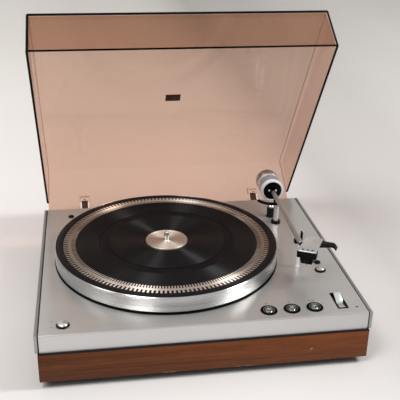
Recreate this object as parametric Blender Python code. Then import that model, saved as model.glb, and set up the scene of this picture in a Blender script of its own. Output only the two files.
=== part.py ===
"""A belt driven record player with its dust cover open. Metres, +Z up, front towards -Y."""
import math

import bmesh
import bpy
from mathutils import Matrix, Vector

# Clearances
GAP = 0.0003
OVERRUN = 0.002
SLIDE_GAP = 0.0008

# The platter and the margins round it set the deck's width and depth
PLATTER_RADIUS = 0.1454
PLATTER_LEFT_MARGIN = 0.0204
ARM_BAY_WIDTH = 0.0788
PLATTER_FRONT_MARGIN = 0.0239
PLATTER_REAR_MARGIN = 0.0153
PLAYER_WIDTH = PLATTER_LEFT_MARGIN + 2 * PLATTER_RADIUS + ARM_BAY_WIDTH
DECK_DEPTH = PLATTER_FRONT_MARGIN + 2 * PLATTER_RADIUS + PLATTER_REAR_MARGIN
PLATTER_X = -PLAYER_WIDTH / 2 + PLATTER_LEFT_MARGIN + PLATTER_RADIUS
PLATTER_Y = -DECK_DEPTH / 2 + PLATTER_FRONT_MARGIN + PLATTER_RADIUS

# Plinth
PLINTH_SIDE_SETBACK = 0.0027
PLINTH_FRONT_RISE = 0.0025
PLINTH_WIDTH = PLAYER_WIDTH - 2 * PLINTH_SIDE_SETBACK
PLINTH_DEPTH = DECK_DEPTH + 2 * PLINTH_FRONT_RISE
BOARD_HEIGHT = 0.03685
BOARD_THICKNESS = 0.015
FOOT_HEIGHT = 0.009
FOOT_RADIUS = 0.018
FOOT_EDGE = 0.002
FOOT_INSET = 0.034
COVER_THICKNESS = 0.003

# Deck sheet with its folded aprons, the black frame below it and the side rails
DECK_SHEET = 0.002
DECK_FOLD_RADIUS = 0.0012
APRON_HEIGHT = 0.0226
APRON_SHADOW = 0.0013
DECK_TOP = FOOT_HEIGHT + BOARD_HEIGHT + APRON_SHADOW + APRON_HEIGHT
RAIL_THICKNESS = 0.0047
RAIL_EDGE = 0.0005
FRAME_WALL = 0.005

# Platter and its drive
PLATTER_DECK_CLEARANCE = 0.003
PLATTER_PLATE = 0.0059
PLATTER_RIM_WALL = 0.0084
PLATTER_LIP = 0.0011
PLATTER_EDGE = 0.0005
PLATTER_HEIGHT = 0.01965
MAT_THICKNESS = 0.003
MAT_BELOW_LIP = 0.0002
STROBE_INSET = 0.009
STROBE_WIDTH = 0.0167
STROBE_OUTER = PLATTER_RADIUS - STROBE_INSET
STROBE_INNER = STROBE_OUTER - STROBE_WIDTH
STROBE_THICKNESS = 0.0011
STROBE_RISE = 0.0001
DISC_RADIUS = 0.0275
DISC_THICKNESS = 0.0025
DISC_RISE = 0.0008
DISC_DISH = 0.0003
SPINDLE_NOSE_RADIUS = 0.00355
SPINDLE_NOSE_HEIGHT = 0.012
SPINDLE_RADIUS = 0.004
SPINDLE_LENGTH_BELOW = 0.045
SUB_PLATTER_INSET = 0.0634
SUB_PLATTER_RADIUS = PLATTER_RADIUS - SUB_PLATTER_INSET
SUB_PLATTER_THICKNESS = 0.010
SUB_PLATTER_WEB = 0.004
SUB_PLATTER_RIM = 0.008
HUB_RADIUS = 0.018
PULLEY_REACH = 0.030
PULLEY_DISTANCE = SUB_PLATTER_RADIUS + PULLEY_REACH
PULLEY_DIRECTION = math.radians(135)
PULLEY_RADIUS = 0.0062
PULLEY_FLANGE = 0.0016
PULLEY_FLANGE_THICKNESS = 0.0012
PULLEY_HEIGHT = 0.0068
MOTOR_SHAFT_RADIUS = 0.0015
MOTOR_SHAFT_DEPTH = 0.014
BELT_WIDTH = 0.0040
BELT_THICKNESS = 0.0008
MOTOR_RADIUS = 0.024
MOTOR_FLANGE_RADIUS = 0.028
MOTOR_FLANGE_THICKNESS = 0.002
MOTOR_HEIGHT = 0.033
MOTOR_EDGE = 0.002
PULLEY_HOLE_RADIUS = 0.0105
BEARING_HOLE_RADIUS = 0.020

# Sprung subchassis with the platter bearing and the arm on it
SUBCHASSIS_BELOW_DECK = 0.01975
SUBCHASSIS_Z = DECK_TOP - SUBCHASSIS_BELOW_DECK
SUBCHASSIS_THICKNESS = 0.0025
SUBCHASSIS_CORNER = 0.014
SUBCHASSIS_HOLE_RADIUS = 0.022
BEARING_RADIUS = 0.012
BEARING_FLANGE_RADIUS = 0.020
BEARING_FLANGE_THICKNESS = 0.003
BEARING_FLOOR = 0.004
BEARING_TOP_CLEARANCE = 0.003
SPRING_RADIUS = 0.0075
SPRING_WIRE = 0.0007
SPRING_TURNS = 5
SPRING_TURN_POINTS = 8
SPRING_PEG_HEIGHT = 0.006
SPRING_PEG_CLEARANCE = 0.0012
SPRING_SHARES = {
    "spring_left": (-0.73, -0.51),
    "spring_right": (0.61, -0.80),
    "spring_rear": (0, 0.83),
}
SPRINGS = {
    name: (PLATTER_X + x_share * PLATTER_RADIUS, PLATTER_Y + y_share * PLATTER_RADIUS)
    for name, (x_share, y_share) in SPRING_SHARES.items()
}

# Tone arm, in its own frame: +X right, -Y towards the stylus, +Z up, origin on its pivot
ARM_PIVOT_SIDE_INSET = 0.058
ARM_PIVOT_REAR_INSET = 0.060
ARM_PIVOT_X = PLAYER_WIDTH / 2 - ARM_PIVOT_SIDE_INSET
ARM_PIVOT_Y = DECK_DEPTH / 2 - ARM_PIVOT_REAR_INSET
PIVOT_TO_SPINDLE = math.hypot(ARM_PIVOT_X - PLATTER_X, ARM_PIVOT_Y - PLATTER_Y)
ARM_PIVOT_HEIGHT = 0.0425
ARM_HEADING = math.radians(2.56)
ARM_SLOPE = math.radians(2.0)
PILLAR_RADIUS = 0.0055
PILLAR_BELOW_PIVOT = 0.024
PILLAR_HEIGHT = ARM_PIVOT_HEIGHT - PILLAR_BELOW_PIVOT
PILLAR_CAP_HEIGHT = 0.003
PILLAR_FLANGE_RADIUS = 0.012
PILLAR_FLANGE_THICKNESS = 0.003
PILLAR_BORE = 0.0023
PILLAR_BORE_DEPTH = 0.016
PILLAR_KNURL_DEPTH = 0.0003
PILLAR_HOLE_CLEARANCE = 0.0012
YOKE_STEM_RADIUS = 0.0024
YOKE_SPINDLE_RADIUS = 0.0019
YOKE_SPINDLE_LENGTH = 0.014
YOKE_BAR_DEPTH = 0.0104
YOKE_BAR_THICKNESS = 0.0024
YOKE_HALF_WIDTH = 0.0087
YOKE_PRONG = 0.0025
YOKE_PRONG_TOP = 0.0032
AXLE_RADIUS = 0.0010
HOUSING_RADIUS = 0.0165
HOUSING_WALL = 0.0017
HOUSING_FRONT = 0.0055
HOUSING_LENGTH = 0.021
HOUSING_RING_LENGTH = 0.006
HOUSING_GROOVE = 0.0006
HOUSING_BACK_WALL = 0.0025
HOUSING_ROUND = 0.0022
FACE_RADIUS = 0.0133
FACE_THICKNESS = 0.0014
FACE_RECESS = 0.0006
STUB_RADIUS = 0.005
STUB_LENGTH = 0.030
DIAL_LENGTH = 0.003
DIAL_RISE = 0.0003
WEIGHT_END = 0.054
WEIGHT_CAP = 0.0024
WEIGHT_ROUND = 0.002
TUBE_RADIUS = 0.0031
TUBE_WALL = 0.0006
TUBE_START = 0.0030
HEADSHELL_LENGTH = 0.043
HEADSHELL_WIDTH = 0.0225
HEADSHELL_CORNER = 0.0015
HEADSHELL_THICKNESS = 0.0045
HEADSHELL_TOP = 0.0010
HEADSHELL_SHORT_OF_SPINDLE = 0.00683
HEADSHELL_FORWARD = PIVOT_TO_SPINDLE - HEADSHELL_SHORT_OF_SPINDLE
TUBE_END_BEHIND_MIDDLE = 0.0045
TUBE_END = HEADSHELL_FORWARD - TUBE_END_BEHIND_MIDDLE
HEADSHELL_RIGHT = 0.0109
HEADSHELL_OFFSET = math.radians(26)
SHELL_HOLE_RADIUS = 0.0010
SHELL_HOLE_PITCH = 0.0058
SHELL_HOLE_INSET = 0.0050
FINGER_WIDTH_ROOT = 0.0188
FINGER_REAR_INSET = 0.0052
FINGER_REACH = 0.0150
FINGER_WIDTH_BEND = 0.0126
FINGER_LIP_REACH = 0.0045
FINGER_LIP_DROP = 0.0050
FINGER_LIP_WIDTH = 0.0110
FINGER_THICKNESS = 0.0012
FINGER_TOP = 0.0004
CARTRIDGE_WIDTH = 0.0150
CARTRIDGE_LENGTH = 0.0230
CARTRIDGE_HEIGHT = 0.0140
CARTRIDGE_STEP_HEIGHT = 0.0046
CARTRIDGE_STEP_LENGTH = 0.0100
STYLUS_GRIP_WIDTH = 0.0090
STYLUS_GRIP_HEIGHT = 0.0030
STYLUS_SETBACK = 0.0040
STYLUS_TIP_DROP = 0.0198
STYLUS_SHANK = 0.0006

# Arm lift and arm rest
LIFT_POST_RIGHT = 0.0025
LIFT_POST_FORWARD = 0.022
LIFT_POST_X = ARM_PIVOT_X + LIFT_POST_RIGHT
LIFT_POST_Y = ARM_PIVOT_Y - LIFT_POST_FORWARD
LIFT_POST_RADIUS = 0.0035
LIFT_GUIDE_RADIUS = 0.0065
LIFT_GUIDE_RISE = 0.0040
LIFT_HOLE_CLEARANCE = 0.0008
LIFT_BAR_BELOW_PIVOT = 0.0111
LIFT_BAR_HEIGHT = ARM_PIVOT_HEIGHT - LIFT_BAR_BELOW_PIVOT
LIFT_BAR_THICKNESS = 0.0024
LIFT_BAR_WIDTH = 0.0032
LIFT_BAR_RADIUS = 0.0224
LIFT_BAR_START = math.radians(-78)
LIFT_BAR_END = math.radians(-161)
LIFT_BAR_STEPS = 12
LIFT_POST_BELOW_DECK = 0.012
LUG_HALF_WIDTH = 0.0012
LUG_HALF_LENGTH = 0.0018
REST_BEHIND_SHELL = 0.0345
REST_DISTANCE = HEADSHELL_FORWARD - REST_BEHIND_SHELL
REST_TUBE_X = ARM_PIVOT_X - REST_DISTANCE * math.tan(ARM_HEADING)
REST_TUBE_UNDERSIDE = ARM_PIVOT_HEIGHT + REST_DISTANCE * math.tan(ARM_SLOPE) - TUBE_RADIUS
REST_POST_Y = ARM_PIVOT_Y - REST_DISTANCE
REST_POST_RADIUS = 0.0021
REST_BASE_RADIUS = 0.0040
REST_BASE_HEIGHT = 0.0015
CLIP_FLOOR_DROP = 0.0102
CLIP_FLOOR_HEIGHT = REST_TUBE_UNDERSIDE - CLIP_FLOOR_DROP
CLIP_WALL = 0.0018
CLIP_OPENING = 0.0066
CLIP_LEFT_OFFSET = 0.0011
CLIP_LEFT_X = REST_TUBE_X - CLIP_LEFT_OFFSET
REST_POST_X = CLIP_LEFT_X + CLIP_WALL + CLIP_OPENING / 2 + CLIP_WALL
CLIP_LOW_JAW_DROP = 0.0048
CLIP_TALL_JAW_RISE = 0.0053
CLIP_LOW_JAW_HEIGHT = REST_TUBE_UNDERSIDE - CLIP_LOW_JAW_DROP
CLIP_TALL_JAW_HEIGHT = REST_TUBE_UNDERSIDE + CLIP_TALL_JAW_RISE
CLIP_HALF_DEPTH = 0.0030

# Controls on the deck
BUTTON_SIDE_INSET = 0.093
BUTTON_FRONT_INSET = 0.0187
BUTTON_X = PLAYER_WIDTH / 2 - BUTTON_SIDE_INSET
BUTTON_Y = -DECK_DEPTH / 2 + BUTTON_FRONT_INSET
BUTTON_PITCH = 0.02775
BUTTON_RING_RADIUS = 0.010
BUTTON_RING_RISE = 0.0010
BUTTON_RADIUS = 0.0071
BUTTON_RISE = 0.0013
BUTTON_DISH = 0.0009
BUTTON_SKIRT = 0.0040
BUTTON_STEM_RADIUS = 0.003
BUTTON_STEM_LENGTH = 0.0035
BUTTON_TRAVEL = 0.0012
BEZEL_PLATE = 0.003
BEZEL_MARGIN = 0.0007
CUE_SIDE_INSET = 0.032
CUE_FRONT_INSET = 0.0295
CUE_X = PLAYER_WIDTH / 2 - CUE_SIDE_INSET
CUE_Y = -DECK_DEPTH / 2 + CUE_FRONT_INSET
CUE_WIDTH = 0.013
CUE_LENGTH = 0.0345
CUE_WALL = 0.0012
CUE_RISE = 0.0008
CUE_DEPTH = 0.008
ROCKER_LENGTH = 0.0290
ROCKER_THICKNESS = 0.0020
ROCKER_BELLY = 0.0058
ROCKER_BELLY_HALF = 0.0045
ROCKER_PIVOT_DROP = 0.0034
ROCKER_PIVOT_RADIUS = 0.0009
ROCKER_HEIGHT = 0.0024
ROCKER_TILT = math.radians(11)
KNOB_SIDE_INSET = 0.0317
KNOB_FRONT_INSET = 0.0183
KNOB_X = -PLAYER_WIDTH / 2 + KNOB_SIDE_INSET
KNOB_Y = -DECK_DEPTH / 2 + KNOB_FRONT_INSET
KNOB_RADIUS = 0.00625
KNOB_SKIRT_RADIUS = 0.00775
KNOB_SKIRT_RISE = 0.0014
KNOB_RISE = 0.0046
KNOB_STEM_RADIUS = 0.003
KNOB_STEM_LENGTH = 0.012
DIAL_KNOB_SIDE_INSET = 0.0324
DIAL_KNOB_FRONT_INSET = 0.1035
DIAL_KNOB_X = PLAYER_WIDTH / 2 - DIAL_KNOB_SIDE_INSET
DIAL_KNOB_Y = -DECK_DEPTH / 2 + DIAL_KNOB_FRONT_INSET
DIAL_KNOB_RADIUS = 0.0056
FRONT_SCREW_SIDE_INSET = 0.0305
FRONT_SCREW_FRONT_INSET = 0.123
REAR_SCREW_SIDE_INSET = 0.0395
REAR_SCREW_REAR_INSET = 0.029
SCREWS = {
    "transit_screw_front": (
        PLAYER_WIDTH / 2 - FRONT_SCREW_SIDE_INSET,
        -DECK_DEPTH / 2 + FRONT_SCREW_FRONT_INSET,
    ),
    "transit_screw_rear": (
        -PLAYER_WIDTH / 2 + REAR_SCREW_SIDE_INSET,
        DECK_DEPTH / 2 - REAR_SCREW_REAR_INSET,
    ),
}
SCREW_HEAD_RADIUS = 0.0042
SCREW_HEAD_HEIGHT = 0.0018
SCREW_SLOT_WIDTH = 0.0009
SCREW_SLOT_DEPTH = 0.0008
SCREW_SHANK_RADIUS = 0.0018
SCREW_SHANK_LENGTH = 0.010

# Dust cover, measured closed, and its hinges
LID_SIDE_INSET = 0.00075
LID_WIDTH = PLAYER_WIDTH - 2 * LID_SIDE_INSET
LID_DEPTH = PLINTH_DEPTH
LID_WALL = 0.003
LID_HEIGHT = 0.06405
LID_CLEARANCE = 0.0005
LID_EDGE = 0.0012
LID_OPEN = math.radians(57.36)
HINGE_BEHIND_PLINTH = 0.01236
HINGE_ABOVE_COVER = 0.0111
HINGE_HEIGHT = FOOT_HEIGHT + HINGE_ABOVE_COVER
HINGE_SIDE_INSET = 0.0595
HINGE_X = PLAYER_WIDTH / 2 - HINGE_SIDE_INSET
HINGE_ARM_WIDTH = 0.0095
HINGE_ARM_THICKNESS = 0.0045
HINGE_KNUCKLE_RADIUS = 0.0052
HINGE_PIN_RADIUS = 0.0022
HINGE_PLATE_THICKNESS = 0.0025
HINGE_PLATE_MARGIN = 0.009
HINGE_PLATE_BELOW = 0.0105
HINGE_PLATE_ABOVE = 0.0058
HINGE_EAR = 0.0025
HINGE_PAD_RISE = 0.0090
HINGE_STUD_RADIUS = 0.0016
HINGE_STUD_HEAD_RADIUS = 0.0032
HINGE_STUD_HEAD = 0.0014
BADGE_WIDTH = 0.022
BADGE_LENGTH = 0.0135
BADGE_THICKNESS = 0.0008

# Electrical parts and the rear panel
TRANSFORMER_SIZE = (0.046, 0.036, 0.030)
TRANSFORMER_SIDE_INSET = 0.0323
TRANSFORMER_REAR_INSET = 0.0245
TRANSFORMER_X = -PLINTH_WIDTH / 2 + BOARD_THICKNESS + TRANSFORMER_SIDE_INSET
TRANSFORMER_Y = PLINTH_DEPTH / 2 - BOARD_THICKNESS - TRANSFORMER_REAR_INSET
TRANSFORMER_EDGE = 0.002
BOARD_END_MARGIN = 0.01525
BOARD_BEHIND_BUTTONS = 0.0123
BOARD_SIZE = (2 * BUTTON_PITCH + 2 * BOARD_END_MARGIN, 0.030)
BOARD_X = BUTTON_X
BOARD_Y = BUTTON_Y + BOARD_BEHIND_BUTTONS
CIRCUIT_SHEET = 0.0016
SWITCH_SIZE = 0.008
BOARD_POST_RADIUS = 0.0025
REAR_PANEL_SIZE = (0.080, 0.026)
REAR_PANEL_THICKNESS = 0.002
REAR_PANEL_ABOVE_COVER = 0.018
REAR_PANEL_Z = FOOT_HEIGHT + REAR_PANEL_ABOVE_COVER
GLAND_RADIUS = 0.006
GLAND_RISE = 0.004
GLAND_BORE = 0.003
GLAND_PITCH = 0.052
SOCKET_RADIUS = 0.0045

# Steps of the round shapes
FINE = 64
ROUND = 24
SMALL = 16
TINY = 10
SMOOTH_ANGLE = math.radians(35)

# Colours with roughness, metallic and alpha values
FINISHES = {
    "walnut": ((0.16, 0.055, 0.022), 0.45, 0.0, 1.0),
    "brushed": ((0.35, 0.32, 0.30), 0.38, 0.9, 1.0),
    "bright": ((0.62, 0.61, 0.60), 0.25, 1.0, 1.0),
    "satin": ((0.42, 0.42, 0.44), 0.35, 0.9, 1.0),
    "bronze": ((0.42, 0.35, 0.29), 0.35, 0.9, 1.0),
    "black": ((0.012, 0.012, 0.013), 0.45, 0.0, 1.0),
    "rubber": ((0.018, 0.017, 0.017), 0.75, 0.0, 1.0),
    "smoke": ((0.30, 0.19, 0.13), 0.08, 0.0, 0.45),
    "steel": ((0.30, 0.30, 0.31), 0.40, 0.9, 1.0),
    "hardboard": ((0.14, 0.09, 0.055), 0.80, 0.0, 1.0),
    "copper": ((0.45, 0.20, 0.10), 0.45, 0.6, 1.0),
    "board": ((0.05, 0.14, 0.07), 0.55, 0.0, 1.0),
    "badge": ((0.045, 0.022, 0.014), 0.35, 0.0, 1.0),
}

# Heights and places that follow from the sizes above
APRON_BOTTOM = DECK_TOP - APRON_HEIGHT
PLINTH_TOP = APRON_BOTTOM - APRON_SHADOW
DECK_UNDERSIDE = DECK_TOP - DECK_SHEET
RAIL_INNER = PLAYER_WIDTH / 2 - RAIL_THICKNESS
HINGE_Y = PLINTH_DEPTH / 2 + HINGE_BEHIND_PLINTH
LID_BOTTOM = DECK_TOP + LID_CLEARANCE
LID_TOP = LID_BOTTOM + LID_HEIGHT
COVER_TOP = FOOT_HEIGHT + COVER_THICKNESS
RIM_BOTTOM = DECK_TOP + PLATTER_DECK_CLEARANCE
PLATTER_TOP = RIM_BOTTOM + PLATTER_HEIGHT
MAT_TOP = PLATTER_TOP - MAT_BELOW_LIP
MAT_BOTTOM = MAT_TOP - MAT_THICKNESS
PLATE_TOP = MAT_BOTTOM - GAP
PLATE_BOTTOM = PLATE_TOP - PLATTER_PLATE
DISC_TOP = MAT_TOP + DISC_RISE
DISC_BOTTOM = DISC_TOP - DISC_THICKNESS
SUB_PLATTER_TOP = PLATE_BOTTOM - GAP
SUB_PLATTER_BOTTOM = SUB_PLATTER_TOP - SUB_PLATTER_THICKNESS
SUBCHASSIS_TOP = SUBCHASSIS_Z + SUBCHASSIS_THICKNESS
SPINDLE_BOTTOM = SUB_PLATTER_BOTTOM - SPINDLE_LENGTH_BELOW
PULLEY_X = PLATTER_X + PULLEY_DISTANCE * math.cos(PULLEY_DIRECTION)
PULLEY_Y = PLATTER_Y + PULLEY_DISTANCE * math.sin(PULLEY_DIRECTION)
ARM_PIVOT_Z = DECK_TOP + ARM_PIVOT_HEIGHT
LIFT_BAR_TOP = DECK_TOP + LIFT_BAR_HEIGHT
DIAL_START = HOUSING_LENGTH + GAP
WEIGHT_START = DIAL_START + DIAL_LENGTH + GAP
SHELL_BOTTOM = HEADSHELL_TOP - HEADSHELL_THICKNESS
CARTRIDGE_TOP = SHELL_BOTTOM - GAP
CARTRIDGE_BOTTOM = CARTRIDGE_TOP - CARTRIDGE_HEIGHT
ROCKER_PIVOT_Z = DECK_TOP + ROCKER_HEIGHT - ROCKER_PIVOT_DROP

# The open cover's rearmost point and the wood's front face set the middle of the whole depth
LID_BACK = LID_DEPTH / 2 - LID_EDGE - HINGE_Y
LID_CORNER_Z = LID_TOP - LID_EDGE - HINGE_HEIGHT
REARMOST = HINGE_Y + LID_BACK * math.cos(LID_OPEN) + LID_CORNER_Z * math.sin(LID_OPEN) + LID_EDGE
MIDDLE_Y = (REARMOST - PLINTH_DEPTH / 2) / 2


def clear_scene():
    for old in list(bpy.data.objects):
        bpy.data.objects.remove(old, do_unlink=True)


def empty(name, parent=None, at=(0, 0, 0), turn=(0, 0, 0)):
    made = bpy.data.objects.new(name, None)
    made.parent = parent
    made.location = at
    made.rotation_euler = turn
    bpy.context.collection.objects.link(made)
    return made


def finish(name, kind):
    colour, roughness, metallic, alpha = FINISHES[kind]
    made = bpy.data.materials.new(name)
    made.use_nodes = True
    shader = made.node_tree.nodes["Principled BSDF"]
    shader.inputs["Base Color"].default_value = (*colour, 1)
    shader.inputs["Roughness"].default_value = roughness
    shader.inputs["Metallic"].default_value = metallic
    shader.inputs["Alpha"].default_value = alpha
    made.diffuse_color = (*colour, alpha)
    return made


def to_object(name, bm, parent, at, turn):
    bmesh.ops.recalc_face_normals(bm, faces=bm.faces)
    mesh = bpy.data.meshes.new(name)
    bm.to_mesh(mesh)
    bm.free()
    made = bpy.data.objects.new(name, mesh)
    made.parent = parent
    made.location = at
    made.rotation_euler = turn
    bpy.context.collection.objects.link(made)
    return made


def place(name, bm, kind, parent, at=(0, 0, 0), turn=(0, 0, 0)):
    made = to_object(name, bm, parent, at, turn)
    made.data.shade_smooth()
    made.data.set_sharp_from_angle(angle=SMOOTH_ANGLE)
    made.data.materials.append(finish(name, kind))
    return made


def guide(name, bm, parent, at=(0, 0, 0), turn=(0, 0, 0)):
    made = to_object(name, bm, parent, at, turn)
    made.hide_render = True
    made.display_type = "WIRE"
    return made


def combine(target, other, operation="DIFFERENCE"):
    modifier = target.modifiers.new(operation.lower(), "BOOLEAN")
    modifier.object = other
    modifier.operation = operation
    modifier.solver = "EXACT"


def box(low, high, edge=0):
    bm = bmesh.new()
    bmesh.ops.create_cube(bm, size=1)
    size = Vector(high) - Vector(low)
    centre = (Vector(high) + Vector(low)) / 2
    bmesh.ops.scale(bm, vec=size, verts=bm.verts)
    bmesh.ops.translate(bm, vec=centre, verts=bm.verts)
    if edge:
        bmesh.ops.bevel(bm, geom=bm.edges[:], offset=edge, segments=2, profile=0.5, affect="EDGES")
    return bm


def joined(*shapes):
    whole = bmesh.new()
    for shape in shapes:
        mesh = bpy.data.meshes.new("shape")
        shape.to_mesh(mesh)
        shape.free()
        whole.from_mesh(mesh)
        bpy.data.meshes.remove(mesh)
    return whole


def moved(bm, vector):
    bmesh.ops.translate(bm, vec=Vector(vector), verts=bm.verts)
    return bm


def turned(profile, segments, closed=True):
    """Turns (radius, height) points about Z. An open profile starts and ends on the axis."""
    bm = bmesh.new()
    points = [bm.verts.new((radius, 0, height)) for radius, height in profile]
    pairs = list(zip(points, points[1:]))
    if closed:
        pairs.append((points[-1], points[0]))
    edges = [bm.edges.new(pair) for pair in pairs]
    bmesh.ops.spin(
        bm, geom=points + edges, cent=(0, 0, 0), axis=(0, 0, 1), angle=2 * math.pi, steps=segments
    )
    bmesh.ops.remove_doubles(bm, verts=bm.verts, dist=GAP / 30)
    return bm


def along_y(bm):
    """Lays a shape made along +Z down along +Y."""
    bmesh.ops.rotate(bm, matrix=Matrix.Rotation(-math.pi / 2, 3, "X"), verts=bm.verts)
    return bm


def along_x(bm):
    """Lays a shape made along +Z down along +X."""
    bmesh.ops.rotate(bm, matrix=Matrix.Rotation(math.pi / 2, 3, "Y"), verts=bm.verts)
    return bm


def rod(radius, low, high, segments=TINY):
    return turned([(0, low), (radius, low), (radius, high), (0, high)], segments, closed=False)


def sleeve(outer, inner, low, high, segments=ROUND):
    return turned([(inner, low), (outer, low), (outer, high), (inner, high)], segments)


def loft(sections, closed=False):
    """Skins equal loops of points. A closed loft joins the last loop to the first."""
    bm = bmesh.new()
    loops = [[bm.verts.new(point) for point in section] for section in sections]
    pairs = list(zip(loops, loops[1:]))
    if closed:
        pairs.append((loops[-1], loops[0]))
    for first, second in pairs:
        count = len(first)
        for i in range(count):
            j = (i + 1) % count
            bm.faces.new((first[i], first[j], second[j], second[i]))
    if not closed:
        bm.faces.new(loops[0])
        bm.faces.new(loops[-1])
    return bm


def prism_z(outline, low, high):
    return loft([[(x, y, z) for x, y in outline] for z in (low, high)])


def prism_x(outline, low, high):
    return loft([[(x, y, z) for y, z in outline] for x in (low, high)])


def ring_z(outer, inner, low, high):
    """A frame between two outlines with the same number of points."""
    corners = ((outer, low), (outer, high), (inner, high), (inner, low))
    return loft([[(x, y, z) for x, y in outline] for outline, z in corners], closed=True)


def rectangle(x_low, x_high, y_low, y_high):
    return [(x_low, y_low), (x_high, y_low), (x_high, y_high), (x_low, y_high)]


def arc(centre, radius, start, end, steps):
    angles = [start + (end - start) * i / steps for i in range(steps + 1)]
    return [(centre[0] + radius * math.cos(a), centre[1] + radius * math.sin(a)) for a in angles]


def rounded(corners, radius, steps=4):
    """A convex outline, named anticlockwise, with an arc of the radius round each corner point."""
    outline = []
    count = len(corners)
    for i, corner in enumerate(corners):
        before = Vector(corner) - Vector(corners[i - 1])
        after = Vector(corners[(i + 1) % count]) - Vector(corner)
        start = math.atan2(before.y, before.x) - math.pi / 2
        end = math.atan2(after.y, after.x) - math.pi / 2
        if end < start:
            end += 2 * math.pi
        outline += arc(corner, radius, start, end, steps)
    return outline


def make_plinth(player):
    half_width = PLINTH_WIDTH / 2
    half_depth = PLINTH_DEPTH / 2
    inner_width = half_width - BOARD_THICKNESS
    inner_depth = half_depth - BOARD_THICKNESS
    outer = rectangle(-half_width, half_width, -half_depth, half_depth)
    inner = rectangle(-inner_width, inner_width, -inner_depth, inner_depth)
    shape = ring_z(outer, inner, FOOT_HEIGHT, PLINTH_TOP)
    place("wood_plinth", shape, "walnut", player)


def make_base_cover(player):
    half_width = PLINTH_WIDTH / 2 - BOARD_THICKNESS - GAP
    half_depth = PLINTH_DEPTH / 2 - BOARD_THICKNESS - GAP
    low = (-half_width, -half_depth, FOOT_HEIGHT)
    cover = place("base_cover", box(low, (half_width, half_depth, COVER_TOP)), "hardboard", player)
    peg_radius = SPRING_RADIUS - SPRING_WIRE - SPRING_PEG_CLEARANCE
    foot = FOOT_HEIGHT + COVER_THICKNESS / 2
    top = COVER_TOP + SPRING_PEG_HEIGHT
    pegs = [moved(rod(peg_radius, foot, top, TINY), (x, y, 0)) for x, y in SPRINGS.values()]
    combine(cover, guide("spring_pegs", joined(*pegs), player), "UNION")


def make_feet(player):
    x = PLINTH_WIDTH / 2 - FOOT_INSET
    y = PLINTH_DEPTH / 2 - FOOT_INSET
    top = FOOT_HEIGHT - GAP
    profile = [(0, 0), (FOOT_RADIUS - FOOT_EDGE, 0), (FOOT_RADIUS, FOOT_EDGE)]
    profile += [(FOOT_RADIUS, top), (0, top)]
    spots = {"front_left": (-x, -y), "front_right": (x, -y), "rear_left": (-x, y), "rear_right": (x, y)}
    for spot, (foot_x, foot_y) in spots.items():
        place("foot_" + spot, turned(profile, ROUND, closed=False), "rubber", player, (foot_x, foot_y, 0))


def make_chassis_frame(player):
    half_width = RAIL_INNER - GAP
    half_depth = DECK_DEPTH / 2 - DECK_SHEET - GAP
    outer = rectangle(-half_width, half_width, -half_depth, half_depth)
    inner_width = half_width - FRAME_WALL
    inner_depth = half_depth - FRAME_WALL
    inner = rectangle(-inner_width, inner_width, -inner_depth, inner_depth)
    shape = ring_z(outer, inner, PLINTH_TOP + GAP, DECK_UNDERSIDE - GAP)
    place("chassis_frame", shape, "black", player)


def deck_outline():
    """The sheet's section across its depth, with folded aprons at both ends."""
    half = DECK_DEPTH / 2
    turn_y = half - DECK_FOLD_RADIUS
    turn_z = DECK_TOP - DECK_FOLD_RADIUS
    front_fold = arc((-turn_y, turn_z), DECK_FOLD_RADIUS, math.pi / 2, math.pi, 3)
    rear_fold = arc((turn_y, turn_z), DECK_FOLD_RADIUS, 0, math.pi / 2, 3)
    inside = half - DECK_SHEET
    outline = [(half, APRON_BOTTOM)] + rear_fold + front_fold
    outline += [(-half, APRON_BOTTOM), (-inside, APRON_BOTTOM), (-inside, DECK_UNDERSIDE)]
    outline += [(inside, DECK_UNDERSIDE), (inside, APRON_BOTTOM)]
    return outline


def deck_holes():
    """Where the deck lets the bearing, pulley, arm, lift and controls through."""
    low = DECK_UNDERSIDE - OVERRUN
    high = DECK_TOP + OVERRUN
    places = [
        (PLATTER_X, PLATTER_Y, BEARING_HOLE_RADIUS),
        (PULLEY_X, PULLEY_Y, PULLEY_HOLE_RADIUS),
        (ARM_PIVOT_X, ARM_PIVOT_Y, PILLAR_RADIUS + PILLAR_HOLE_CLEARANCE),
        (LIFT_POST_X, LIFT_POST_Y, LIFT_GUIDE_RADIUS + LIFT_HOLE_CLEARANCE),
        (KNOB_X, KNOB_Y, KNOB_STEM_RADIUS + GAP),
        (DIAL_KNOB_X, DIAL_KNOB_Y, KNOB_STEM_RADIUS + GAP),
    ]
    places += [(x, y, SCREW_SHANK_RADIUS + GAP) for x, y in SCREWS.values()]
    places += [(x, BUTTON_Y, BUTTON_RING_RADIUS + GAP) for x in button_places()]
    drills = [moved(rod(radius, low, high, SMALL), (x, y, 0)) for x, y, radius in places]
    half_width = CUE_WIDTH / 2 + GAP
    half_length = CUE_LENGTH / 2 + GAP
    slot_low = (CUE_X - half_width, CUE_Y - half_length, low)
    return joined(*drills, box(slot_low, (CUE_X + half_width, CUE_Y + half_length, high)))


def make_deck(player):
    half_width = RAIL_INNER - GAP
    deck = place("deck_plate", prism_x(deck_outline(), -half_width, half_width), "brushed", player)
    combine(deck, guide("deck_holes", deck_holes(), player))


def make_side_rails(player):
    half = DECK_DEPTH / 2
    outer = PLAYER_WIDTH / 2
    spans = {"side_rail_left": (-outer, -RAIL_INNER), "side_rail_right": (RAIL_INNER, outer)}
    for name, (x_low, x_high) in spans.items():
        shape = box((x_low, -half, APRON_BOTTOM), (x_high, half, DECK_TOP), RAIL_EDGE)
        place(name, shape, "bright", player)


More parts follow.
